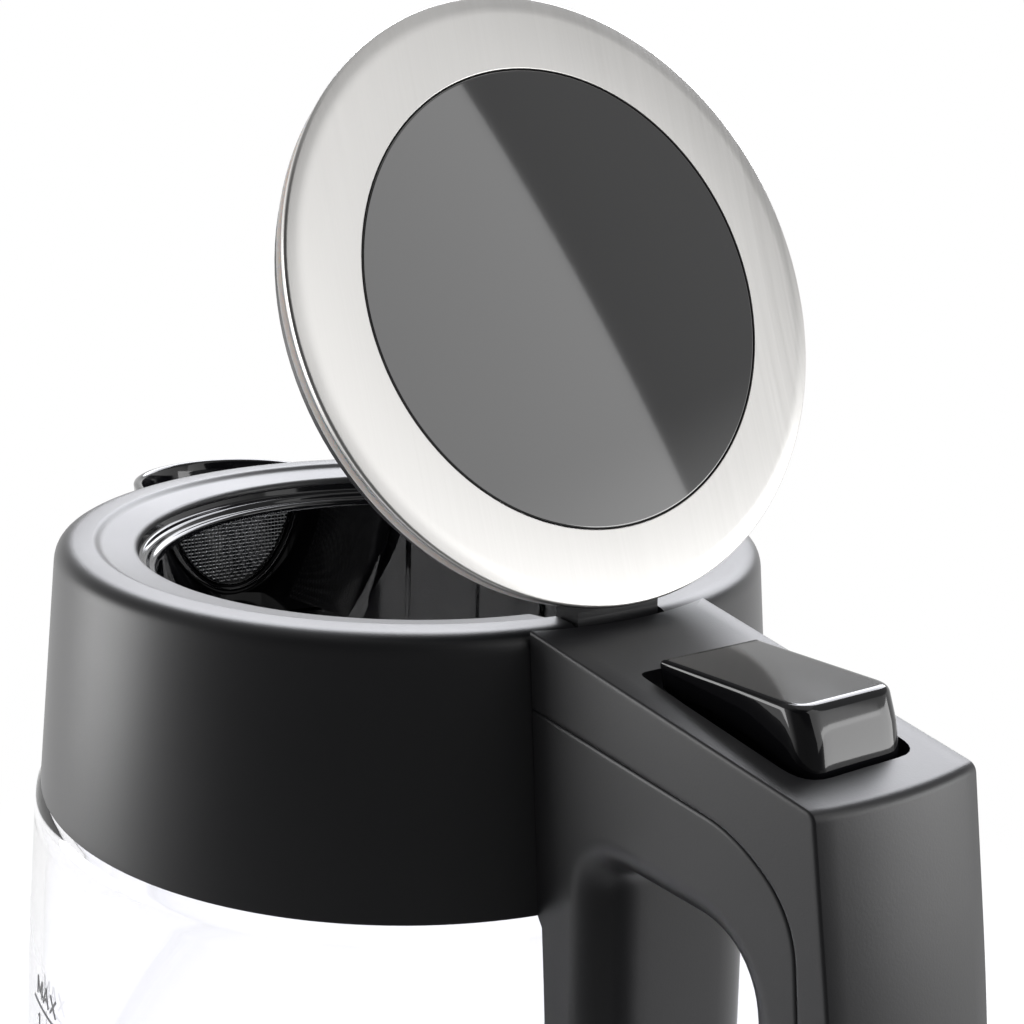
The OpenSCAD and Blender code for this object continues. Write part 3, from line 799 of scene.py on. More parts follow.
@dataclass(frozen=True)
class Softbox:
    """A rectangular soft light aimed at a point of the kettle."""

    name: str
    azimuth: float
    elevation: float
    distance: float
    width: float
    height: float
    radiance: float
    aim: tuple[float, float, float] = (0.0, 0.0, 0.24)
    tilt: float = 0.0
    colour: Colour = (1.0, 1.0, 1.0)

    def place(self) -> None:
        """Adds the light. A Lambertian face of area A and radiance L gives pi L A watts."""
        lamp = bpy.data.lights.new(self.name, "AREA")
        lamp.shape, lamp.size, lamp.size_y = "RECTANGLE", self.width, self.height
        lamp.energy = math.pi * self.radiance * self.width * self.height
        lamp.color = self.colour
        az, el = math.radians(self.azimuth), math.radians(self.elevation)
        ray = Vector((math.cos(el) * math.cos(az), math.cos(el) * math.sin(az), math.sin(el)))
        box = bpy.data.objects.new(self.name, lamp)
        tilted = ray.to_track_quat("Z", "Y") @ Quaternion((0, 0, 1), math.radians(self.tilt))
        box.rotation_euler = tilted.to_euler()
        box.location = Vector(self.aim) + ray * self.distance
        box.visible_camera = False
        box.visible_transmission = False
        bpy.context.scene.collection.objects.link(box)


@dataclass
class Studio:
    """Camera, pale floor, white surroundings and soft lights. Its lengths are in metres."""

    eye: tuple[float, float, float] = (0.23791, -0.14276, 0.30729)
    aim: tuple[float, float, float] = (0.01072, 0.01540, 0.23842)
    roll: float = 0.029
    lens: float = 52.70
    floor_radius: float = 1.1
    floor_fade_start: float = 0.13
    floor_fade_end: float = 0.44
    back: tuple[float, float, float] = (-0.79, 0.61, 0.0)
    front_glow: float = 0.12
    back_glow: float = 1.05
    dim_share: float = 0.35
    dim_start: float = 0.22
    dim_end: float = 0.36
    softboxes: tuple[Softbox, ...] = (
        Softbox("lid_panel", 22.9, 25.4, 1.126, 0.78, 0.95, 1.27, aim=(0.049, 0.0, 0.284), tilt=12.4),
        Softbox("right_panel", 44.0, -1.0, 1.2, 0.62, 0.46, 4.4),
        Softbox("back_panel", 135.0, 34.0, 1.3, 1.5, 0.74, 7.8, colour=(0.94, 0.95, 1.0)),
        Softbox("left_strip", -131.0, 0.0, 0.6, 0.32, 0.36, 5.2, aim=(-0.02, -0.06, 0.2)),
        Softbox("overhead", 60.0, 80.0, 1.3, 1.2, 1.2, 0.3),
    )

    def place_camera(self) -> None:
        """Makes the camera: it looks from eye to aim, rolled about its own axis."""
        ahead = (Vector(self.aim) - Vector(self.eye)).normalized()
        right = ahead.cross(Vector((0, 0, 1))).normalized()
        up = right.cross(ahead)
        leaned_right = math.cos(self.roll) * right + math.sin(self.roll) * up
        leaned_up = math.cos(self.roll) * up - math.sin(self.roll) * right
        camera = bpy.data.objects.new("camera", bpy.data.cameras.new("camera"))
        camera.data.lens, camera.data.sensor_width = self.lens, 36.0
        camera.data.clip_start = 0.005
        camera.matrix_world = Matrix.Translation(self.eye) @ Matrix(
            (leaned_right, leaned_up, -ahead)).transposed().to_4x4()
        bpy.context.scene.collection.objects.link(camera)
        bpy.context.scene.camera = camera

    def place_floor(self) -> None:
        """Makes a pale disc of floor that clears into the white surroundings with distance."""
        radius = np.linspace(0, self.floor_radius, 24)
        profile = np.stack([radius / MM, 0 * radius - 0.05], 1)
        floor = new_mesh("floor", revolved(profile, 96, closed=False))
        material = bpy.data.materials.new("pale_floor")
        material.use_nodes = True
        shader = ShaderTree(material.node_tree)
        surface = material.node_tree.nodes["Principled BSDF"]
        surface.inputs["Base Color"].default_value = (0.84, 0.84, 0.85, 1.0)
        surface.inputs["Roughness"].default_value = 0.6
        where = shader.add("TexCoord").outputs["Object"]
        away = shader.add("VectorMath", operation="LENGTH", in0=where).outputs["Value"]
        clear = shader.add("MapRange", interpolation_type="SMOOTHSTEP", Value=away,
                           From_Min=self.floor_fade_start, From_Max=self.floor_fade_end, To_Min=1.0,
                           To_Max=0.0).outputs[0]
        shader.tree.links.new(clear, surface.inputs["Alpha"])
        floor.data.materials.append(material)

    def light(self) -> None:
        """Makes the surroundings white to look at, and for reflections bright behind and dark in front."""
        world = bpy.data.worlds.new("studio")
        bpy.context.scene.world = world
        world.use_nodes = True
        shader = ShaderTree(world.node_tree)
        path = shader.add("LightPath")
        seen = shader.math("MAXIMUM", path.outputs["Is Camera Ray"], path.outputs["Is Transmission Ray"])
        where = shader.add("TexCoord").outputs["Generated"]
        facing = shader.add("VectorMath", operation="DOT_PRODUCT", in0=where, in1=self.back).outputs["Value"]
        glow = shader.add("MapRange", interpolation_type="SMOOTHSTEP", Value=facing, From_Min=-0.6,
                          From_Max=0.0, To_Min=self.front_glow, To_Max=self.back_glow).outputs[0]
        height = shader.add("SeparateXYZ", Vector=where).outputs["Z"]
        dim = shader.add("MapRange", interpolation_type="SMOOTHSTEP", Value=height,
                         From_Min=self.dim_start, From_Max=self.dim_end, To_Min=1.0,
                         To_Max=self.dim_share).outputs[0]
        glow = shader.math("MULTIPLY", glow, dim)
        tone = shader.mix(seen, shader.add("CombineColor", Red=glow, Green=glow, Blue=glow).outputs[0],
                          (1.0, 1.0, 1.0, 1.0))
        background = world.node_tree.nodes["Background"]
        shader.tree.links.new(tone, background.inputs["Color"])
        for softbox in self.softboxes:
            softbox.place()
        bpy.context.scene.view_settings.view_transform = "Standard"
        log.info("studio: %d soft lights", len(self.softboxes))


# ---- Lid ----


@dataclass
class Lid:
    """Steel-rimmed lid with a dark disc, drawn shut and turned up about its hinge."""

    radius: float = 49.3
    disc_radius: float = 37.1
    gap: float = 0.2
    hinge: Vector = field(init=False)
    open_angle: float = field(init=False)
    top: float = field(init=False)

    def __post_init__(self) -> None:
        """Takes the hinge and the lid's height from the frame."""
        joint = next(joint for joint in frame["joints"] if joint["name"] == "lid_hinge")
        self.hinge = Vector(joint["pos_m"]) / MM
        self.open_angle = math.radians(joint["range_deg"][1])
        self.top = high_corner("collar_shell")[2] - 1.0

    def opened(self, surface: Surface) -> Surface:
        """The surface, drawn with the shut lid's top at height 0, put on the open lid."""
        turn = (Matrix.Translation(self.hinge) @ Matrix.Rotation(self.open_angle, 4, "Y")
                @ Matrix.Translation(-self.hinge) @ Matrix.Translation((0, 0, self.top)))
        return surface.moved(turn)

    def rim(self) -> Surface:
        """Steel ring: a flat face with a soft fold near the outer edge, a thin edge and a dip at the disc.

        Returns:
            The closed turned surface, on the open lid.
        """
        inner, r = self.disc_radius + self.gap, self.radius
        return self.opened(revolved(rounded([
            (inner, -0.03, 0.15), (inner, -1.0, 0.0), (r - 1.0, -1.0, 0.3), (r - 0.9, -1.6, 0.2),
            (r, -1.5, 0.3), (r + 0.1, -0.2, 0.55), (r - 2.3, 0.18, 0.9)], 10), FINE_STEPS))

    def lip(self) -> Surface:
        """Dark lip under the ring, a little inside its edge.

        Returns:
            The closed turned surface, on the open lid.
        """
        r = self.radius
        return self.opened(revolved(rounded([
            (42.0, -1.1, 0.0), (42.0, -3.0, 0.0), (r - 0.7, -3.1, 0.7), (r - 0.45, -1.3, 0.3),
            (r - 1.1, -1.1, 0.1)], 6), TURN_STEPS))

    def disc(self) -> Surface:
        """Dark disc: a flat polished face with a small rounded edge.

        Returns:
            The closed turned surface, on the open lid.
        """
        return self.opened(revolved(rounded([
            (0.0, -2.2, 0.0), (self.disc_radius, -2.2, 0.0), (self.disc_radius, -0.1, 0.35),
            (0.0, -0.1, 0.0)], 6), FINE_STEPS, closed=False))

    def make(self, finishes: FinishSet) -> None:
        """Makes the lid's pieces.

        Args:
            finishes: The finishes.
        """
        add_piece("lid_rim", self.rim(), finishes["brushed_steel"], Body.LID, ["lid_ring"])
        add_piece("lid_lip", self.lip(), finishes["dark_plastic"], Body.LID)
        add_piece("lid_dark_disc", self.disc(), finishes["dark_glass"], Body.LID, ["lid_disc"])


# ---- Collar, mouth and glass ----


@dataclass
class Collar:
    """Dark collar with a rounded top ring, and the mouth's stepped liner."""

    wall: float = 2.6
    mouth: float = 51.2
    step_radius: float = 58.4
    low: np.ndarray = field(default_factory=lambda: low_corner("collar_shell"))
    high: np.ndarray = field(default_factory=lambda: high_corner("collar_shell"))
    top_radius: float = 65.5
    slot_half: float = 8.8

    def skin(self) -> Surface:
        """Collar wall, a rounded shoulder, a flat ring, a soft step and a slope down to the mouth.

        Returns:
            The closed turned surface.
        """
        r, z, top = self.high[1], self.low[2], self.high[2]
        under = top - 3.5
        return revolved(refined(rounded([
            (r, z, 0.4), (r - self.wall, z, 0.3), (self.top_radius - self.wall + 0.35, under, 0.5),
            (self.mouth + 0.6, under, 0.2), (self.mouth - 0.1, under + 0.5, 0.4),
            (self.mouth + 0.1, top - 1.75, 0.8), (self.step_radius - 0.8, top - 0.85, 0.5),
            (self.step_radius + 0.35, top - 0.02, 0.5), (self.top_radius, top + 0.02, 3.4)], 9), 3.0),
            FINE_STEPS)

    def liner(self) -> Surface:
        """Mouth liner: two rounded ledges, a flared funnel and a straight wall.

        Returns:
            The closed turned surface.
        """
        z, top = self.low[2], self.high[2]
        inner, outer = 61.2, 63.0
        return revolved(refined(rounded([
            (self.mouth + 0.35, top - 2.9, 0.2), (self.mouth - 0.15, top - 4.5, 0.5), (49.6, top - 4.75, 0.5),
            (49.2, top - 5.75, 0.35), (48.1, top - 6.0, 0.5), (47.9, top - 7.4, 0.5), (52.0, top - 8.2, 1.5),
            (58.4, top - 11.0, 2.0), (60.6, top - 16.0, 2.5), (inner, z + 12, 3.0), (inner, z + 1.5, 0.3),
            (outer, z + 1.5, 0.2), (outer, top - 13.0, 2.0), (60.4, top - 8.6, 1.5), (60.4, top - 5.4, 0.8),
            (53.4, top - 3.9, 0.4)], 7), 3.0), TURN_STEPS)

    def ribs(self) -> Surface:
        """Stiffening ribs on the liner's wall, one each 15 degrees except at the spout and at the hinge.

        Returns:
            One surface with every rib.
        """
        z = self.low[2]
        outline = rounded([(58.9, z + 4, 0.6), (61.8, z + 4, 0.0), (61.8, z + 30, 0.0),
                           (60.2, z + 30, 0.5)], 4)
        rib = rounded_slab([outline], [EdgeRound(0.3, 0.3)], lambda x: 0 * x + 0.6, 3)
        angles = [math.radians(a) for a in range(15, 360, 15) if min(abs(a - 180), a, 360 - a) > 26]
        return Surface.joined([rib.moved(Matrix.Rotation(a, 4, "Z")) for a in angles])

    def hinge_slot(self) -> Surface:
        """Solid that clears the hinge arm and the latch nose.

        Returns:
            The closed surface.
        """
        z = self.high[2] - 18.5
        outline = rounded([(45, z, 0.0), (45, z + 30, 0.0), (75, z + 30, 0.0), (75, z, 0.0)], 1)
        return rounded_slab([outline], [EdgeRound(0.0, 0.0)], lambda x: 0 * x + self.slot_half, 1)

    def make(self, finishes: FinishSet, window: Surface, wide_window: Surface) -> None:
        """Makes the collar's pieces.

        Args:
            finishes: The finishes.
            window: Solid cut out for the spout.
            wide_window: The same, wider, for the liner.
        """
        add_piece("collar_skin", self.skin(), finishes["charcoal_plastic"], Body.JUG,
                  ["collar_shell"], [window, self.hinge_slot()], crease=28.0)
        add_piece("mouth_liner", self.liner(), finishes["gloss_plastic"], Body.JUG,
                  ["collar_liner"], [wide_window, self.hinge_slot()], crease=40.0)
        add_piece("liner_ribs", self.ribs(), finishes["gloss_plastic"], Body.JUG)


@dataclass
class GlassJug:
    """Clear glass jug with its printed volume scale."""

    wall: float = 2.5
    barrel_start: float = 95.0
    barrel_radius: float = 909.0
    neck_radius: float = 66.8
    foot_radius: float = 72.6
    collar_bottom: float = field(default_factory=lambda: low_corner("collar_shell")[2])
    low: np.ndarray = field(default_factory=lambda: low_corner("glass_jug"))
    high: np.ndarray = field(default_factory=lambda: high_corner("glass_jug"))
    mark_azimuth: float = -90.0
    full_drop: float = 35.6
    letter: float = 3.6
    stroke: float = 0.45

    def outer(self, z: np.ndarray) -> np.ndarray:
        """Outer radius at height z: the widest, less (z - start)^2 / (2 R) above the barrel's start."""
        return self.high[1] - np.maximum(0, z - self.barrel_start) ** 2 / (2 * self.barrel_radius)

    def shell(self) -> Surface:
        """Glass wall: foot, barrel, a rolled shoulder into the collar, and the same again inside.

        Returns:
            The closed turned surface.
        """
        z = np.linspace(60, self.collar_bottom - 3.0, 34)
        side = np.stack([self.outer(z), z], 1)
        foot, top, shoulder = self.low[2], self.high[2], self.collar_bottom
        lower = np.array([[self.foot_radius, foot], [self.foot_radius, 51.2], [73.2, 52.9], [74.6, 54.2],
                          [75.5, 56.4]])
        upper = np.array([[side[-1, 0] - 0.25, shoulder - 1.7], [side[-1, 0] - 1.0, shoulder - 0.7],
                          [side[-1, 0] - 2.4, shoulder + 0.1], [self.neck_radius, shoulder + 0.6],
                          [self.neck_radius, top]])
        outside = np.vstack([lower, side, upper])
        inside = outside[::-1] - [self.wall, 0]
        inside[:, 1] += np.where(inside[:, 1] < 57, 0.6, 0) - np.where(
            (inside[:, 1] > shoulder - 3) & (inside[:, 1] < top), 0.6, 0)
        inside[0, 1], inside[-1, 1] = top, foot
        return revolved(np.vstack([outside, inside]), TURN_STEPS)

    def on_glass(self, across: np.ndarray, z: np.ndarray, lift: float) -> np.ndarray:
        """Points on the glass.

        Args:
            across: Distances along the circle from the scale's middle.
            z: Heights.
            lift: How far above the glass.

        Returns:
            Points, shaped (n, 3).
        """
        radius = self.outer(z) + lift
        angle = math.radians(self.mark_azimuth) + across / radius
        return np.stack([radius * np.cos(angle), radius * np.sin(angle), z], -1)

    def strokes(self, lines: Sequence[Sequence[tuple[float, float]]], width: float) -> Surface:
        """Printed strokes: each line is a thin raised band, wrapped on the glass.

        Args:
            lines: Each line's points as (distance across, height).
            width: The strokes' width.

        Returns:
            One surface with every stroke closed.
        """
        parts = []
        for line in lines:
            for start, end in zip(line[:-1], line[1:]):
                a, b = np.array(start, float), np.array(end, float)
                steps = max(2, int(np.linalg.norm(b - a) / 1.5) + 1)
                s = np.linspace(0, 1, steps)[:, None]
                middle = a + (b - a) * s
                along = (b - a) / np.linalg.norm(b - a)
                normal = np.array([-along[1], along[0]]) * width / 2
                ring = [(middle + normal, 0.0), (middle + normal, 0.12), (middle - normal, 0.12),
                        (middle - normal, 0.0)]
                grid = np.stack([self.on_glass(p[:, 0], p[:, 1], lift - 0.02) for p, lift in ring], 1)
                band = grid_surface(grid, close_cols=True)
                end_row = len(band.points) - 4
                caps = [[0, 1, 2, 3], [end_row + i for i in (3, 2, 1, 0)]]
                parts.append(Surface(band.points, band.faces + caps))
        return Surface.joined(parts)

    def scale_marks(self) -> Surface:
        """The full mark with its word, and lines with numbers for 1.5, 1.0 and 0.5 litres.

        Returns:
            The printed strokes. Letters are drawn in a unit square, as lines of (x, y) points.
        """
        letters = {
            "M": [[(0, 0), (0, 1), (0.42, 0.25), (0.84, 1), (0.84, 0)]],
            "A": [[(0, 0), (0.42, 1), (0.84, 0)], [(0.16, 0.35), (0.68, 0.35)]],
            "X": [[(0, 0), (0.8, 1)], [(0, 1), (0.8, 0)]],
            "0": [[(0, 0.15), (0, 0.85), (0.15, 1), (0.45, 1), (0.6, 0.85), (0.6, 0.15), (0.45, 0), (0.15, 0),
                   (0, 0.15)]],
            "1": [[(0.1, 0.8), (0.35, 1), (0.35, 0)]],
            "5": [[(0.6, 1), (0.05, 1), (0, 0.55), (0.4, 0.6), (0.6, 0.45), (0.6, 0.15), (0.4, 0),
                   (0, 0.05)]],
            "7": [[(0, 1), (0.6, 1), (0.2, 0)]],
            ".": [[(0.25, -0.02), (0.25, 0.16)]],
            "L": [[(0, 1), (0, 0), (0.5, 0)]],
        }

        def word(text: str, left: float, base: float, size: float) -> list[list[tuple[float, float]]]:
            """Lines of a word.

            Args:
                text: The word.
                left: Where it starts.
                base: Height of its foot.
                size: Height of its letters.

            Returns:
                Lines of points.
            """
            found = []
            for place, sign in enumerate(text):
                shift = left + place * size * 1.12
                found += [[(shift + size * x, base + size * y) for x, y in line]
                          for line in letters[sign]]
            return found

        full = self.collar_bottom - self.full_drop
        lines = word("MAX", -6.6, full + 1.6, 3.4) + [[(-9.0, full), (9.0, full)]]
        lines += word("1.7L", -6.2, full - 5.4, self.letter)
        for text, drop in (("1.5L", 12.0), ("1.0L", 42.0), ("0.5L", 72.0)):
            lines += [[(-9.0, full - drop), (9.0, full - drop)]]
            lines += word(text, -6.2, full - drop + 1.6, self.letter)
        for drop in (27.0, 57.0):
            lines += [[(-4.0, full - drop), (4.0, full - drop)]]
        return self.strokes(lines, self.stroke)

    def make(self, finishes: FinishSet) -> None:
        """Makes the glass and its printed scale."""
        add_piece("jug_glass", self.shell(), finishes["clear_glass"], Body.JUG, ["glass_jug"])
        add_piece("volume_scale", self.scale_marks(), finishes["printed_mark"], Body.JUG)


# ---- Spout and filter ----


@dataclass
class Spout:
    """Wide round spout with a rolled lip."""

    wall: float = 2.0
    root: float = -57.0
    lip_centre: float = -81.0
    lip_radius: float = 23.4
    foot_centre: float = -75.5
    foot_radius: float = 13.6
    flare: float = 2.2
    spread: float = 0.25
    arc_points: int = 33
    low: np.ndarray = field(default_factory=lambda: low_corner("spout"))
    high: np.ndarray = field(default_factory=lambda: high_corner("spout"))

    def outline(self, share: float, inset: float, root: float) -> np.ndarray:
        """The spout's plan at a share of its height: an arc and the two straight sides that touch it.

        Args:
            share: 0 at the foot, 1 at the lip.
            inset: How far inside the outer face.
            root: X at which the sides end.

        Returns:
            Points in X and Y, from the +Y side round to the -Y side.
        """
        swell = 1 - (1 - share) ** self.flare
        centre = self.foot_centre + (self.lip_centre - self.foot_centre) * share
        radius = self.foot_radius + (self.lip_radius - self.foot_radius) * swell - inset
        turn = np.linspace(math.pi / 2 + self.spread, 3 * math.pi / 2 - self.spread, self.arc_points)
        arc = np.stack([centre + radius * np.cos(turn), radius * np.sin(turn)], 1)
        along = (root - arc[0, 0]) * np.linspace(1, 0, 9, endpoint=False)[:, None]
        near = arc[:1] + np.hstack([along, along * math.tan(self.spread)])
        return np.vstack([near, arc, near[::-1] * [1, -1]])

    def bowl(self) -> Surface:
        """The spout: from its underside's middle line out, up its face, over the lip and down inside.

        Returns:
            The closed surface.
        """
        foot, lip = self.low[2], self.high[2]
        rise = np.linspace(0, 1, 18)
        spine = self.outline(0, 0, self.root) * [1, 0]
        spine[:, 0] = np.maximum(spine[:, 0], self.foot_centre)
        rows = [np.hstack([spine, 0 * spine[:, :1] + foot])]
        for share in np.concatenate([[0.0, 0.012], rise[1:]]):
            inset = 1.0 if share == 0 else 0.0
            plan = self.outline(share, inset, self.root)
            rows.append(np.hstack([plan, 0 * plan[:, :1] + foot + share * (lip - foot - 0.6)]))
        for turn in np.linspace(0, math.pi, 7)[1:-1]:
            plan = self.outline(1, self.wall * (1 - math.cos(turn)) / 2, self.root)
            rows.append(np.hstack([plan, 0 * plan[:, :1] + lip - 0.6 + 0.6 * math.sin(turn)]))
        floor = foot + 3.5
        for share in rise[::-1]:
            plan = self.outline(share, self.wall, self.root)
            rows.append(np.hstack([plan, 0 * plan[:, :1] + floor + share * (lip - 0.6 - floor)]))
        rows.append(np.hstack([spine, 0 * spine[:, :1] + floor]))
        grid = np.stack(rows)
        surface = grid_surface(grid)
        count, width = grid.shape[:2]
        first = [row * width for row in range(count)]
        last = [row * width + width - 1 for row in range(count - 1, -1, -1)]
        return Surface(surface.points, surface.faces + [first + last])

    def window(self, inset: float, low: float, high: float) -> Surface:
        """The solid inside the spout, carried on into the mouth, which the collar is cut with.

        Args:
            inset: How far inside the spout's outer face.
            low: Height of its foot.
            high: Height of its top.

        Returns:
            The closed surface.
        """
        foot, lip = self.low[2], self.high[2]
        shares = np.linspace((low - foot) / (lip - foot), (high - foot) / (lip - foot), 10)
        rows = []
        for share in shares:
            plan = self.outline(float(np.clip(share, 0, 1)), inset, -48.0)
            rows.append(np.hstack([plan, 0 * plan[:, :1] + foot + share * (lip - foot)]))
        grid = np.stack(rows)
        surface = grid_surface(grid, close_cols=True)
        width = grid.shape[1]
        ends = [list(range(width)), [len(surface.points) - 1 - i for i in range(width)]]
        return Surface(surface.points, surface.faces + ends)

    def make(self, finishes: FinishSet) -> None:
        """Makes the spout."""
        add_piece("spout_bowl", self.bowl(), finishes["gloss_plastic"], Body.JUG,
                  ["spout"], crease=40.0)


@dataclass
class Filter:
    """Lift-out filter: a U-shaped frame with woven wire in it."""

    half_width: float = 19.2
    border: float = 3.0
    pitch: float = 0.86
    wire: float = 0.135
    roundness: float = 1.8
    low: np.ndarray = field(default_factory=lambda: low_corner("filter_frame"))
    high: np.ndarray = field(default_factory=lambda: high_corner("filter_frame"))

    def half_at(self, z: np.ndarray, inset: float) -> np.ndarray:
        """Half width at height z: w (1 - q^n)^(1/2), with q the share of the way down from the top.

        Args:
            z: Heights.
            inset: How far inside the frame's outer edge.

        Returns:
            Half the width at each height.
        """
        top, foot = self.high[2] - 0.2, self.low[2] + inset
        q = np.clip((top - z) / (top - foot), 0, 1)
        return (self.half_width - inset) * np.sqrt(np.maximum(0, 1 - q ** self.roundness))

    def outline(self, inset: float) -> np.ndarray:
        """The U-shaped outline in Y and Z, closed along its top.

        Args:
            inset: How far inside the frame's outer edge.

        Returns:
            Points in Y and Z.
        """
        top, foot = self.high[2] - 0.2 - 0.8 * inset, self.low[2] + inset
        q = np.sin(np.linspace(0, math.pi / 2, 26))
        z = top - q * (top - foot)
        half = self.half_at(z, inset)
        right = np.stack([half, z], 1)
        left = np.stack([-half[-2::-1], z[-2::-1]], 1)
        return np.vstack([right, left])

    def rim(self) -> Surface:
        """Frame: a rounded bar round the outline, with a lower second bar just outside the wire.

        Returns:
            One surface with both bars closed.
        """
        middle, half = (self.low[0] + self.high[0]) / 2, (self.high[0] - self.low[0]) / 2
        edge, shoulder, seat, opening = (refined(self.outline(inset), 1.5) for inset in
                                         (0.0, self.border - 1.0, self.border - 1.1, self.border))
        outer = rounded_slab([edge, shoulder], [EdgeRound(0.6, 0.6)] * 2, lambda x: 0 * x + half, 4)
        inner = rounded_slab([seat, opening], [EdgeRound(0.3, 0.3)] * 2, lambda x: 0 * x + half * 0.6, 3)
        return Surface.joined([Surface(part.points[:, [1, 0, 2]] + [middle, 0, 0], part.faces)
                               for part in (outer, inner)])

    def weave(self) -> Surface:
        """Woven wire: wires both ways, each x = a sin(pi d / pitch) over and under the wires it crosses.

        Returns:
            One surface with every wire closed at its ends.
        """
        inset = self.border - 0.3
        middle = (self.low[0] + self.high[0]) / 2
        top, foot = self.high[2] - 0.2 - 0.8 * inset, self.low[2] + inset
        amplitude = self.wire * 0.95
        s = np.linspace(0, 1, 61)
        heights = np.arange(foot + self.pitch, top, self.pitch)
        half = self.half_at(heights, inset)[:, None]
        y = half * (2 * s - 1)
        parity = (np.arange(len(heights)) % 2 * 2 - 1)[:, None]
        across = np.stack([middle + parity * amplitude * np.sin(math.pi * (y / self.pitch + 0.5)), y,
                           heights[:, None] + 0 * y], -1)
        count = int((self.half_width - inset) / self.pitch)
        columns = np.arange(-count, count + 1) * self.pitch
        fine = np.linspace(foot, top, 400)
        inside = self.half_at(fine, inset) >= np.abs(columns)[:, None] + 0.05
        columns, inside = columns[inside.any(1)], inside[inside.any(1)]
        lowest = fine[inside.argmax(1)]
        z = lowest[:, None] + (top - lowest[:, None]) * s
        parity = (np.arange(len(columns)) % 2 * 2 - 1)[:, None]
        phase = (z - foot) / self.pitch + 0.5
        down = np.stack([middle + parity * amplitude * np.sin(math.pi * phase),
                         columns[:, None] + 0 * z, z], -1)
        return Surface.joined([tubes(across, self.wire), tubes(down, self.wire)])

    def make(self, finishes: FinishSet) -> None:
        """Makes the frame and the wire."""
        add_piece("filter_rim", self.rim(), finishes["gloss_plastic"], Body.FILTER,
                  ["filter_frame"])
        add_piece("filter_weave", self.weave(), finishes["steel_mesh"], Body.FILTER,
                  ["filter_mesh"], crease=60.0)


# ---- Handle and button ----


@dataclass
class Handle:
    """Loop handle: an outer shell, and an inner cover round the finger opening that meets it at a line."""

    top: float = field(default_factory=lambda: high_corner("collar_shell")[2])
    half_in: float = 17.3
    half_out: float = 15.3
    bow: float = 1.5
    opening_start: float = 81.4
    opening_end: float = 115.4
    opening_half: float = 10.9
    slot_half: float = 8.6
    outer_corners: list[Corner] = field(init=False)
    parting_corners: list[Corner] = field(init=False)
    finger_corners: list[Corner] = field(init=False)

    def __post_init__(self) -> None:
        """Sets the outlines' corners, clockwise from the collar's top, as (x, z, blend length)."""
        t = self.top
        self.outer_corners = [(50, t + 2.1, 0), (121, t - 6.7, 1.3), (127, 197, 12), (133.5, 152, 26),
                              (131.5, 96, 26), (125, 50, 14), (100, 37, 11), (50, 27, 0)]
        self.parting_corners = [(50, t - 10.8, 0), (107.5, t - 14.6, 5), (119, t - 21, 7), (127.6, 152, 26),
                                (125.6, 96, 24), (119.5, 55, 12), (98, 43.6, 10), (50, 34, 0)]
        self.finger_corners = [(81.5, 203.2, 5), (109.5, 203.6, 9), (116.5, 152, 26), (113.6, 84, 15),
                               (86, 78, 12)]

    def half_width(self, x: np.ndarray) -> np.ndarray:
        """Half width: from half_in at x = 66 it narrows evenly to half_out at x = 121."""
        return self.half_in + (self.half_out - self.half_in) * (x - 66) / 55

    def bowed(self, surface: Surface) -> Surface:
        """Carries the outer face out in the middle: x grows by bow (1 - (y / w)^2), fading towards the jug.

        Args:
            surface: The shell with a straight outer face.

        Returns:
            The bowed shell.
        """
        x, y = surface.points[:, 0], surface.points[:, 1]
        fade = np.clip((x - 104) / 16, 0, 1) ** 2
        grown = x + self.bow * (1 - np.minimum(1, (y / self.half_width(x)) ** 2)) * fade
        return Surface(np.stack([grown, y, surface.points[:, 2]], 1), surface.faces)

    def strap(self) -> Surface:
        """Outer shell: the band between the outer edge and the parting line.

        Returns:
            The closed surface.
        """
        band = np.vstack([rounded(self.outer_corners, 12), rounded(self.parting_corners, 12)[::-1]])
        return self.bowed(rounded_slab([refined(band, 4.0)], [EdgeRound(0.6, 0.35)], self.half_width, 5, 9))

    def cover(self) -> Surface:
        """Inner cover: the plate inside the parting line, deeply rounded towards the finger opening.

        Returns:
            The closed surface.
        """
        parting = refined(rounded(self.parting_corners, 12), 4.0)
        finger = refined(rounded(self.finger_corners, 12), 3.0)
        return rounded_slab([parting, finger], [EdgeRound(0.6, 0.3), EdgeRound(6.2, 8.5)],
                            self.half_width, 10, 7)

    def button_opening(self) -> Surface:
        """Solid of the opening for the release button, with rounded corners.

        Returns:
            The closed surface.
        """
        x0, x1, half = self.opening_start, self.opening_end, self.opening_half
        plan = rounded([(x0, -half, 1.5), (x1, -half, 4.5), (x1, half, 4.5), (x0, half, 1.5)], 6)
        return upright_prism(plan, 216.0, 244.0)

    def switch_slot(self) -> Surface:
        """Solid of the slot that the switch lever moves in."""
        z = high_corner("switch_lever")[2]
        half = self.slot_half
        plan = rounded([(110, -half, 0), (146, -half, 0), (146, half, 0), (110, half, 0)], 1)
        return upright_prism(plan, z - 12.2, z + 1.0)

    def latch_bay(self) -> Surface:
        """Solid of the bay behind the collar in which the lid's catch meets the latch nose."""
        half = self.slot_half
        plan = rounded([(56, -half, 0), (76, -half, 0), (76, half, 0), (56, half, 0)], 1)
        return upright_prism(plan, self.top - 20.0, self.top - 3.4)

    def make(self, finishes: FinishSet, jug: Surface) -> None:
        """Makes the shell and the cover.

        Args:
            finishes: The finishes.
            jug: Solid of the jug, which both are cut with.
        """
        plastic = finishes["charcoal_plastic"]
        add_piece("handle_strap", self.strap(), plastic, Body.JUG, ["handle_shell"],
                  [jug, self.button_opening(), self.switch_slot(), self.latch_bay()])
        add_piece("handle_cover", self.cover(), plastic, Body.JUG, ["handle_inner"],
                  [jug])


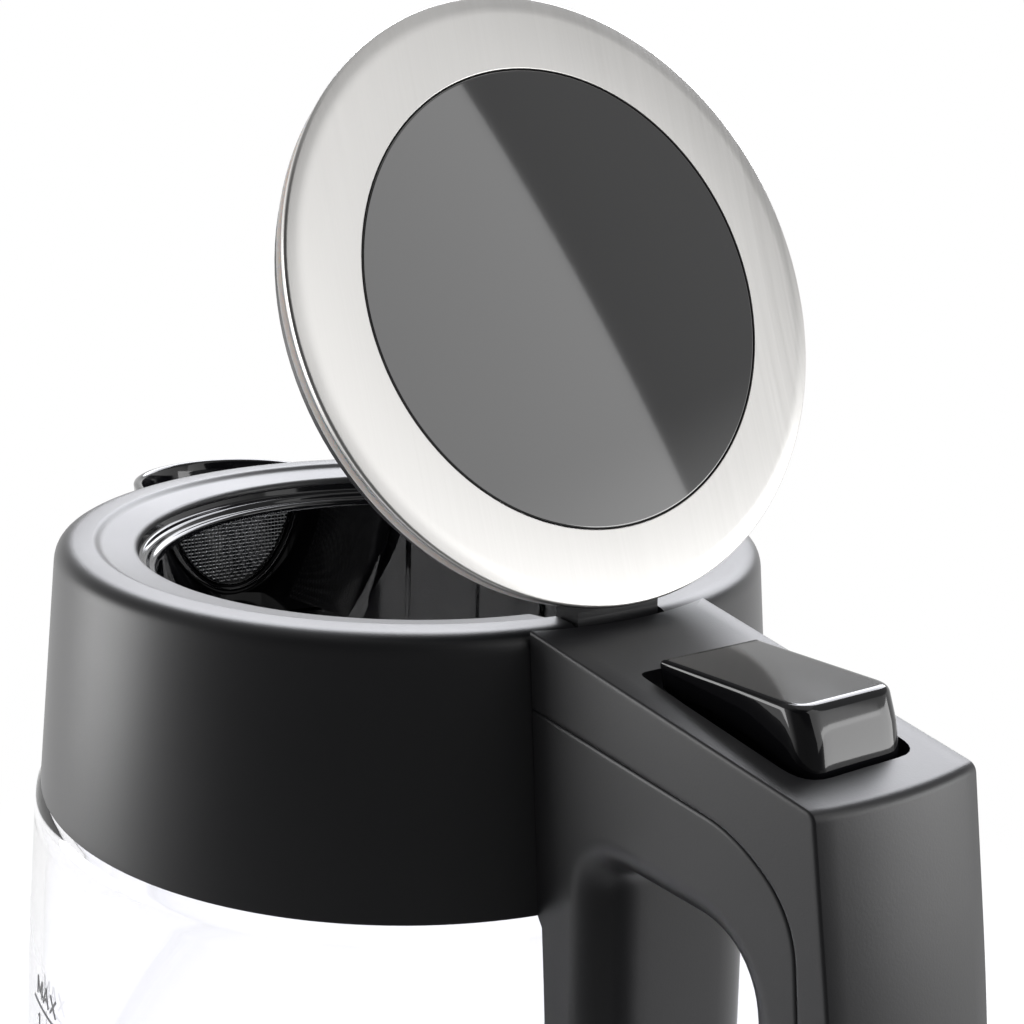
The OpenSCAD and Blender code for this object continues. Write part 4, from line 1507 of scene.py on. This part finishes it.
@dataclass
class ReleaseButton:
    """Polished wedge of a button, rounded at its outer end, in a dark well."""

    half: float = 9.6
    inner_x: float = 84.0
    outer_x: float = 111.6
    corner: float = 3.4
    fillet: float = 0.9
    rise: float = 1.6
    inner_depth: float = 6.4
    keel_fall: float = 6.0
    keel_end: float = 109.0
    lean: float = 0.42
    lean_start: float = 100.0
    lean_run: float = 9.0
    lean_depth: float = 6.6
    undercut: float = 0.22
    seat_radius: float = 3.8
    seat_travel: float = 3.6

    def cap(self) -> Surface:
        """Button: its plan carried from a sloping underside up to a sloping top, with a rounded upper rim.

        The top's height rises evenly with x, and the underside falls from the inner end to the outer end.

        Returns:
            The closed surface.
        """
        plan = refined(rounded([
            (self.inner_x, -self.half, 0.8), (self.outer_x, -self.half + 0.4, self.corner),
            (self.outer_x, self.half - 0.4, self.corner), (self.inner_x, self.half, 0.8)], 10), 1.5)
        top = high_corner("release_button")[2]

        def crest(x: np.ndarray) -> np.ndarray:
            """Height of the top face."""
            return top - self.rise + self.rise * (x - self.inner_x) / (self.outer_x - self.inner_x)

        def keel(x: np.ndarray) -> np.ndarray:
            """Height of the lower edge."""
            share = np.clip((x - self.inner_x) / (self.keel_end - self.inner_x), 0, 1)
            return top - self.inner_depth - self.keel_fall * share

        turn = np.linspace(0, math.pi / 2, 6)
        rows = [np.hstack([shrunk(plan, 0.6), keel(plan[:, :1])]),
                np.hstack([plan, keel(plan[:, :1]) + 0.4])]
        for s in (0.35, 0.7):
            wall = keel(plan[:, :1]) * (1 - s) + (crest(plan[:, :1]) - self.fillet) * s
            rows.append(np.hstack([plan, wall]))
        for a in turn:
            inner = shrunk(plan, self.fillet * (1 - math.cos(a)))
            rows.append(np.hstack([inner, crest(inner[:, :1]) - self.fillet * (1 - math.sin(a))]))
        inner = shrunk(plan, self.fillet + FLAT_MARGIN)
        rows.append(np.hstack([inner, crest(inner[:, :1])]))
        grid = np.stack(rows)
        depth = np.maximum(0, crest(grid[..., 0]) - grid[..., 2])
        outward = np.clip((grid[..., 0] - self.lean_start) / self.lean_run, 0, 1)
        grid[..., 1] *= 1 - self.undercut * depth / self.half * (1 - outward)
        grid[..., 0] += self.lean * np.minimum(depth, self.lean_depth) * outward
        surface = grid_surface(grid, close_cols=True)
        width = grid.shape[1]
        ends = [list(range(width))[::-1], [len(surface.points) - width + i for i in range(width)]]
        return Surface(surface.points, surface.faces + ends)

    def spring_seat(self) -> Surface:
        """Solid of the round pocket under the button, which takes the spring at every press.

        Returns:
            The closed turned surface.
        """
        top = high_corner("button_spring")[2]
        centre = (low_corner("button_spring") + high_corner("button_spring")) / 2
        low, high = top - 12.0, top + self.seat_travel
        profile = np.array([[0.0, low], [self.seat_radius, low], [self.seat_radius, high], [0.0, high]])
        return revolved(profile, 32, closed=False).moved(Matrix.Translation((centre[0], centre[1], 0.0)))

    def make(self, finishes: FinishSet) -> None:
        """Makes the button."""
        add_piece("button_cap", self.cap(), finishes["gloss_plastic"], Body.BUTTON,
                  ["release_button"], [self.spring_seat()], crease=40.0)


# ---- Lower end ----


@dataclass
class LowerEnd:
    """The jug's bottom housing and the power base's shell, turned with soft edges."""

    housing_low: np.ndarray = field(default_factory=lambda: low_corner("bottom_housing"))
    housing_high: np.ndarray = field(default_factory=lambda: high_corner("bottom_housing"))
    base_high: np.ndarray = field(default_factory=lambda: high_corner("base_shell"))
    seat_radius: float = 72.9
    post_radius: float = 11.4

    def housing(self) -> Surface:
        """Bottom housing: a straight band with rounded rims and a seat for the glass.

        Returns:
            The closed turned surface.
        """
        r, z0, z1 = self.housing_high[1], self.housing_low[2], self.housing_high[2]
        return revolved(refined(rounded([
            (r - 3.2, z0 + 0.6, 0.3), (r - 2.2, z0, 0.8), (r - 0.2, z0 + 2.2, 1.6), (r, z0 + 6, 2.0),
            (r, z1, 1.2), (self.seat_radius, z1, 0.5), (self.seat_radius, 42, 0.0), (68.5, 42, 0.0),
            (68.5, 39.8, 0.0), (r - 2.6, 39.8, 0.0)], 7), 4.0), TURN_STEPS)

    def lead_hole(self) -> Surface:
        """Solid of the passage for the switch leads."""
        angle = np.linspace(0, 2 * math.pi, 24, endpoint=False)
        ring = np.stack([0 * angle + 60, 3.2 * np.cos(angle), 37.6 + 3.2 * np.sin(angle)], 1)
        return straight_bar(ring, (30, 0, 0))

    def base(self) -> Surface:
        """Power base: a raised ring round the post, a shallow dish, a rounded shoulder and a skirt.

        Returns:
            The closed turned surface.
        """
        r, top = self.base_high[1], self.base_high[2] - 1.6
        return revolved(refined(rounded([
            (self.post_radius, top - 2.2, 0.0), (self.post_radius, top + 1.6, 0.5), (16.4, top + 1.6, 0.8),
            (17.0, top - 0.8, 0.6), (24, top - 0.8, 1.0), (26.5, top, 1.0), (r - 3, top, 3.0),
            (r, top - 6, 3.0), (r, 4, 0.5), (r - 2.4, 4, 0.3), (r - 2.4, top - 6.5, 2.0),
            (r - 4, top - 2.4, 2.0)], 7), 4.0), TURN_STEPS)

    def gland_mouth(self) -> Surface:
        """Solid of the round mouth for the cord gland, along Y.

        Returns:
            The closed surface.
        """
        gland = (low_corner("cord_gland") + high_corner("cord_gland")) / 2
        angle = np.linspace(0, 2 * math.pi, 32, endpoint=False)
        ring = np.stack([5.0 * np.cos(angle), 0 * angle + 64, gland[2] + 5.0 * np.sin(angle)], 1)
        return straight_bar(ring, (0, 20, 0))

    def make(self, finishes: FinishSet) -> None:
        """Makes both shells."""
        add_piece("housing_band", self.housing(), finishes["charcoal_plastic"], Body.JUG,
                  ["bottom_housing"], [self.lead_hole()])
        add_piece("base_dish", self.base(), finishes["charcoal_plastic"], Body.BASE,
                  ["base_shell"], [self.gland_mouth()])


@dataclass
class JugSkin:
    """The closed solid inside the jug's outer skin, which other pieces are cut with."""

    glass: GlassJug
    collar: Collar
    clearance: float = 0.15

    def solid(self) -> Surface:
        """Turned solid: housing, glass barrel and collar cone, capped on the axis.

        Returns:
            The closed turned surface.
        """
        z = np.linspace(58, self.collar.low[2] - 1.5, 26)
        side = np.stack([self.glass.outer(z) + self.clearance, z], 1)
        housing = high_corner("bottom_housing")
        profile = np.vstack([[[0, -5], [housing[1], -5], [housing[1], housing[2] + 0.2]], side,
                             [[self.collar.high[1], self.collar.low[2]],
                              [self.collar.top_radius - 0.4, self.collar.high[2] + 8],
                              [0, self.collar.high[2] + 8]]])
        return revolved(profile, TURN_STEPS, closed=False)


class CarriedNodes:
    """The CAD nodes that stay as they are and get their slot's material."""

    def dress(self, finishes: FinishSet) -> None:
        """Puts each node's finish on its object.

        Args:
            finishes: The finishes.
        """
        slots = {part["node"]: part["material_slot"] for part in frame["record"]["subparts"]}
        for name, node in frame["nodes"].items():
            material = finishes[slots[name]]
            for slot in node.material_slots:
                slot.material = material
            if not node.material_slots:
                node.data.materials.append(material)
        log.info("dressed %d carried nodes", len(slots))


def main() -> None:
    """Builds the studio, then every sub-assembly in order."""
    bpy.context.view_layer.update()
    studio = Studio()
    studio.place_camera()
    studio.place_floor()
    studio.light()
    finishes = FinishSet()
    CarriedNodes().dress(finishes)
    spout, collar, glass = Spout(), Collar(), GlassJug()
    skin = JugSkin(glass, collar).solid()
    lip = high_corner("spout")[2]
    Lid().make(finishes)
    window = spout.window(spout.wall, 198.0, lip)
    wide_window = spout.window(spout.wall - 0.8, 197.0, lip - 0.4)
    collar.make(finishes, window, wide_window)
    glass.make(finishes)
    spout.make(finishes)
    Filter().make(finishes)
    Handle().make(finishes, skin)
    ReleaseButton().make(finishes)
    LowerEnd().make(finishes)


if __name__ == "__main__":
    main()
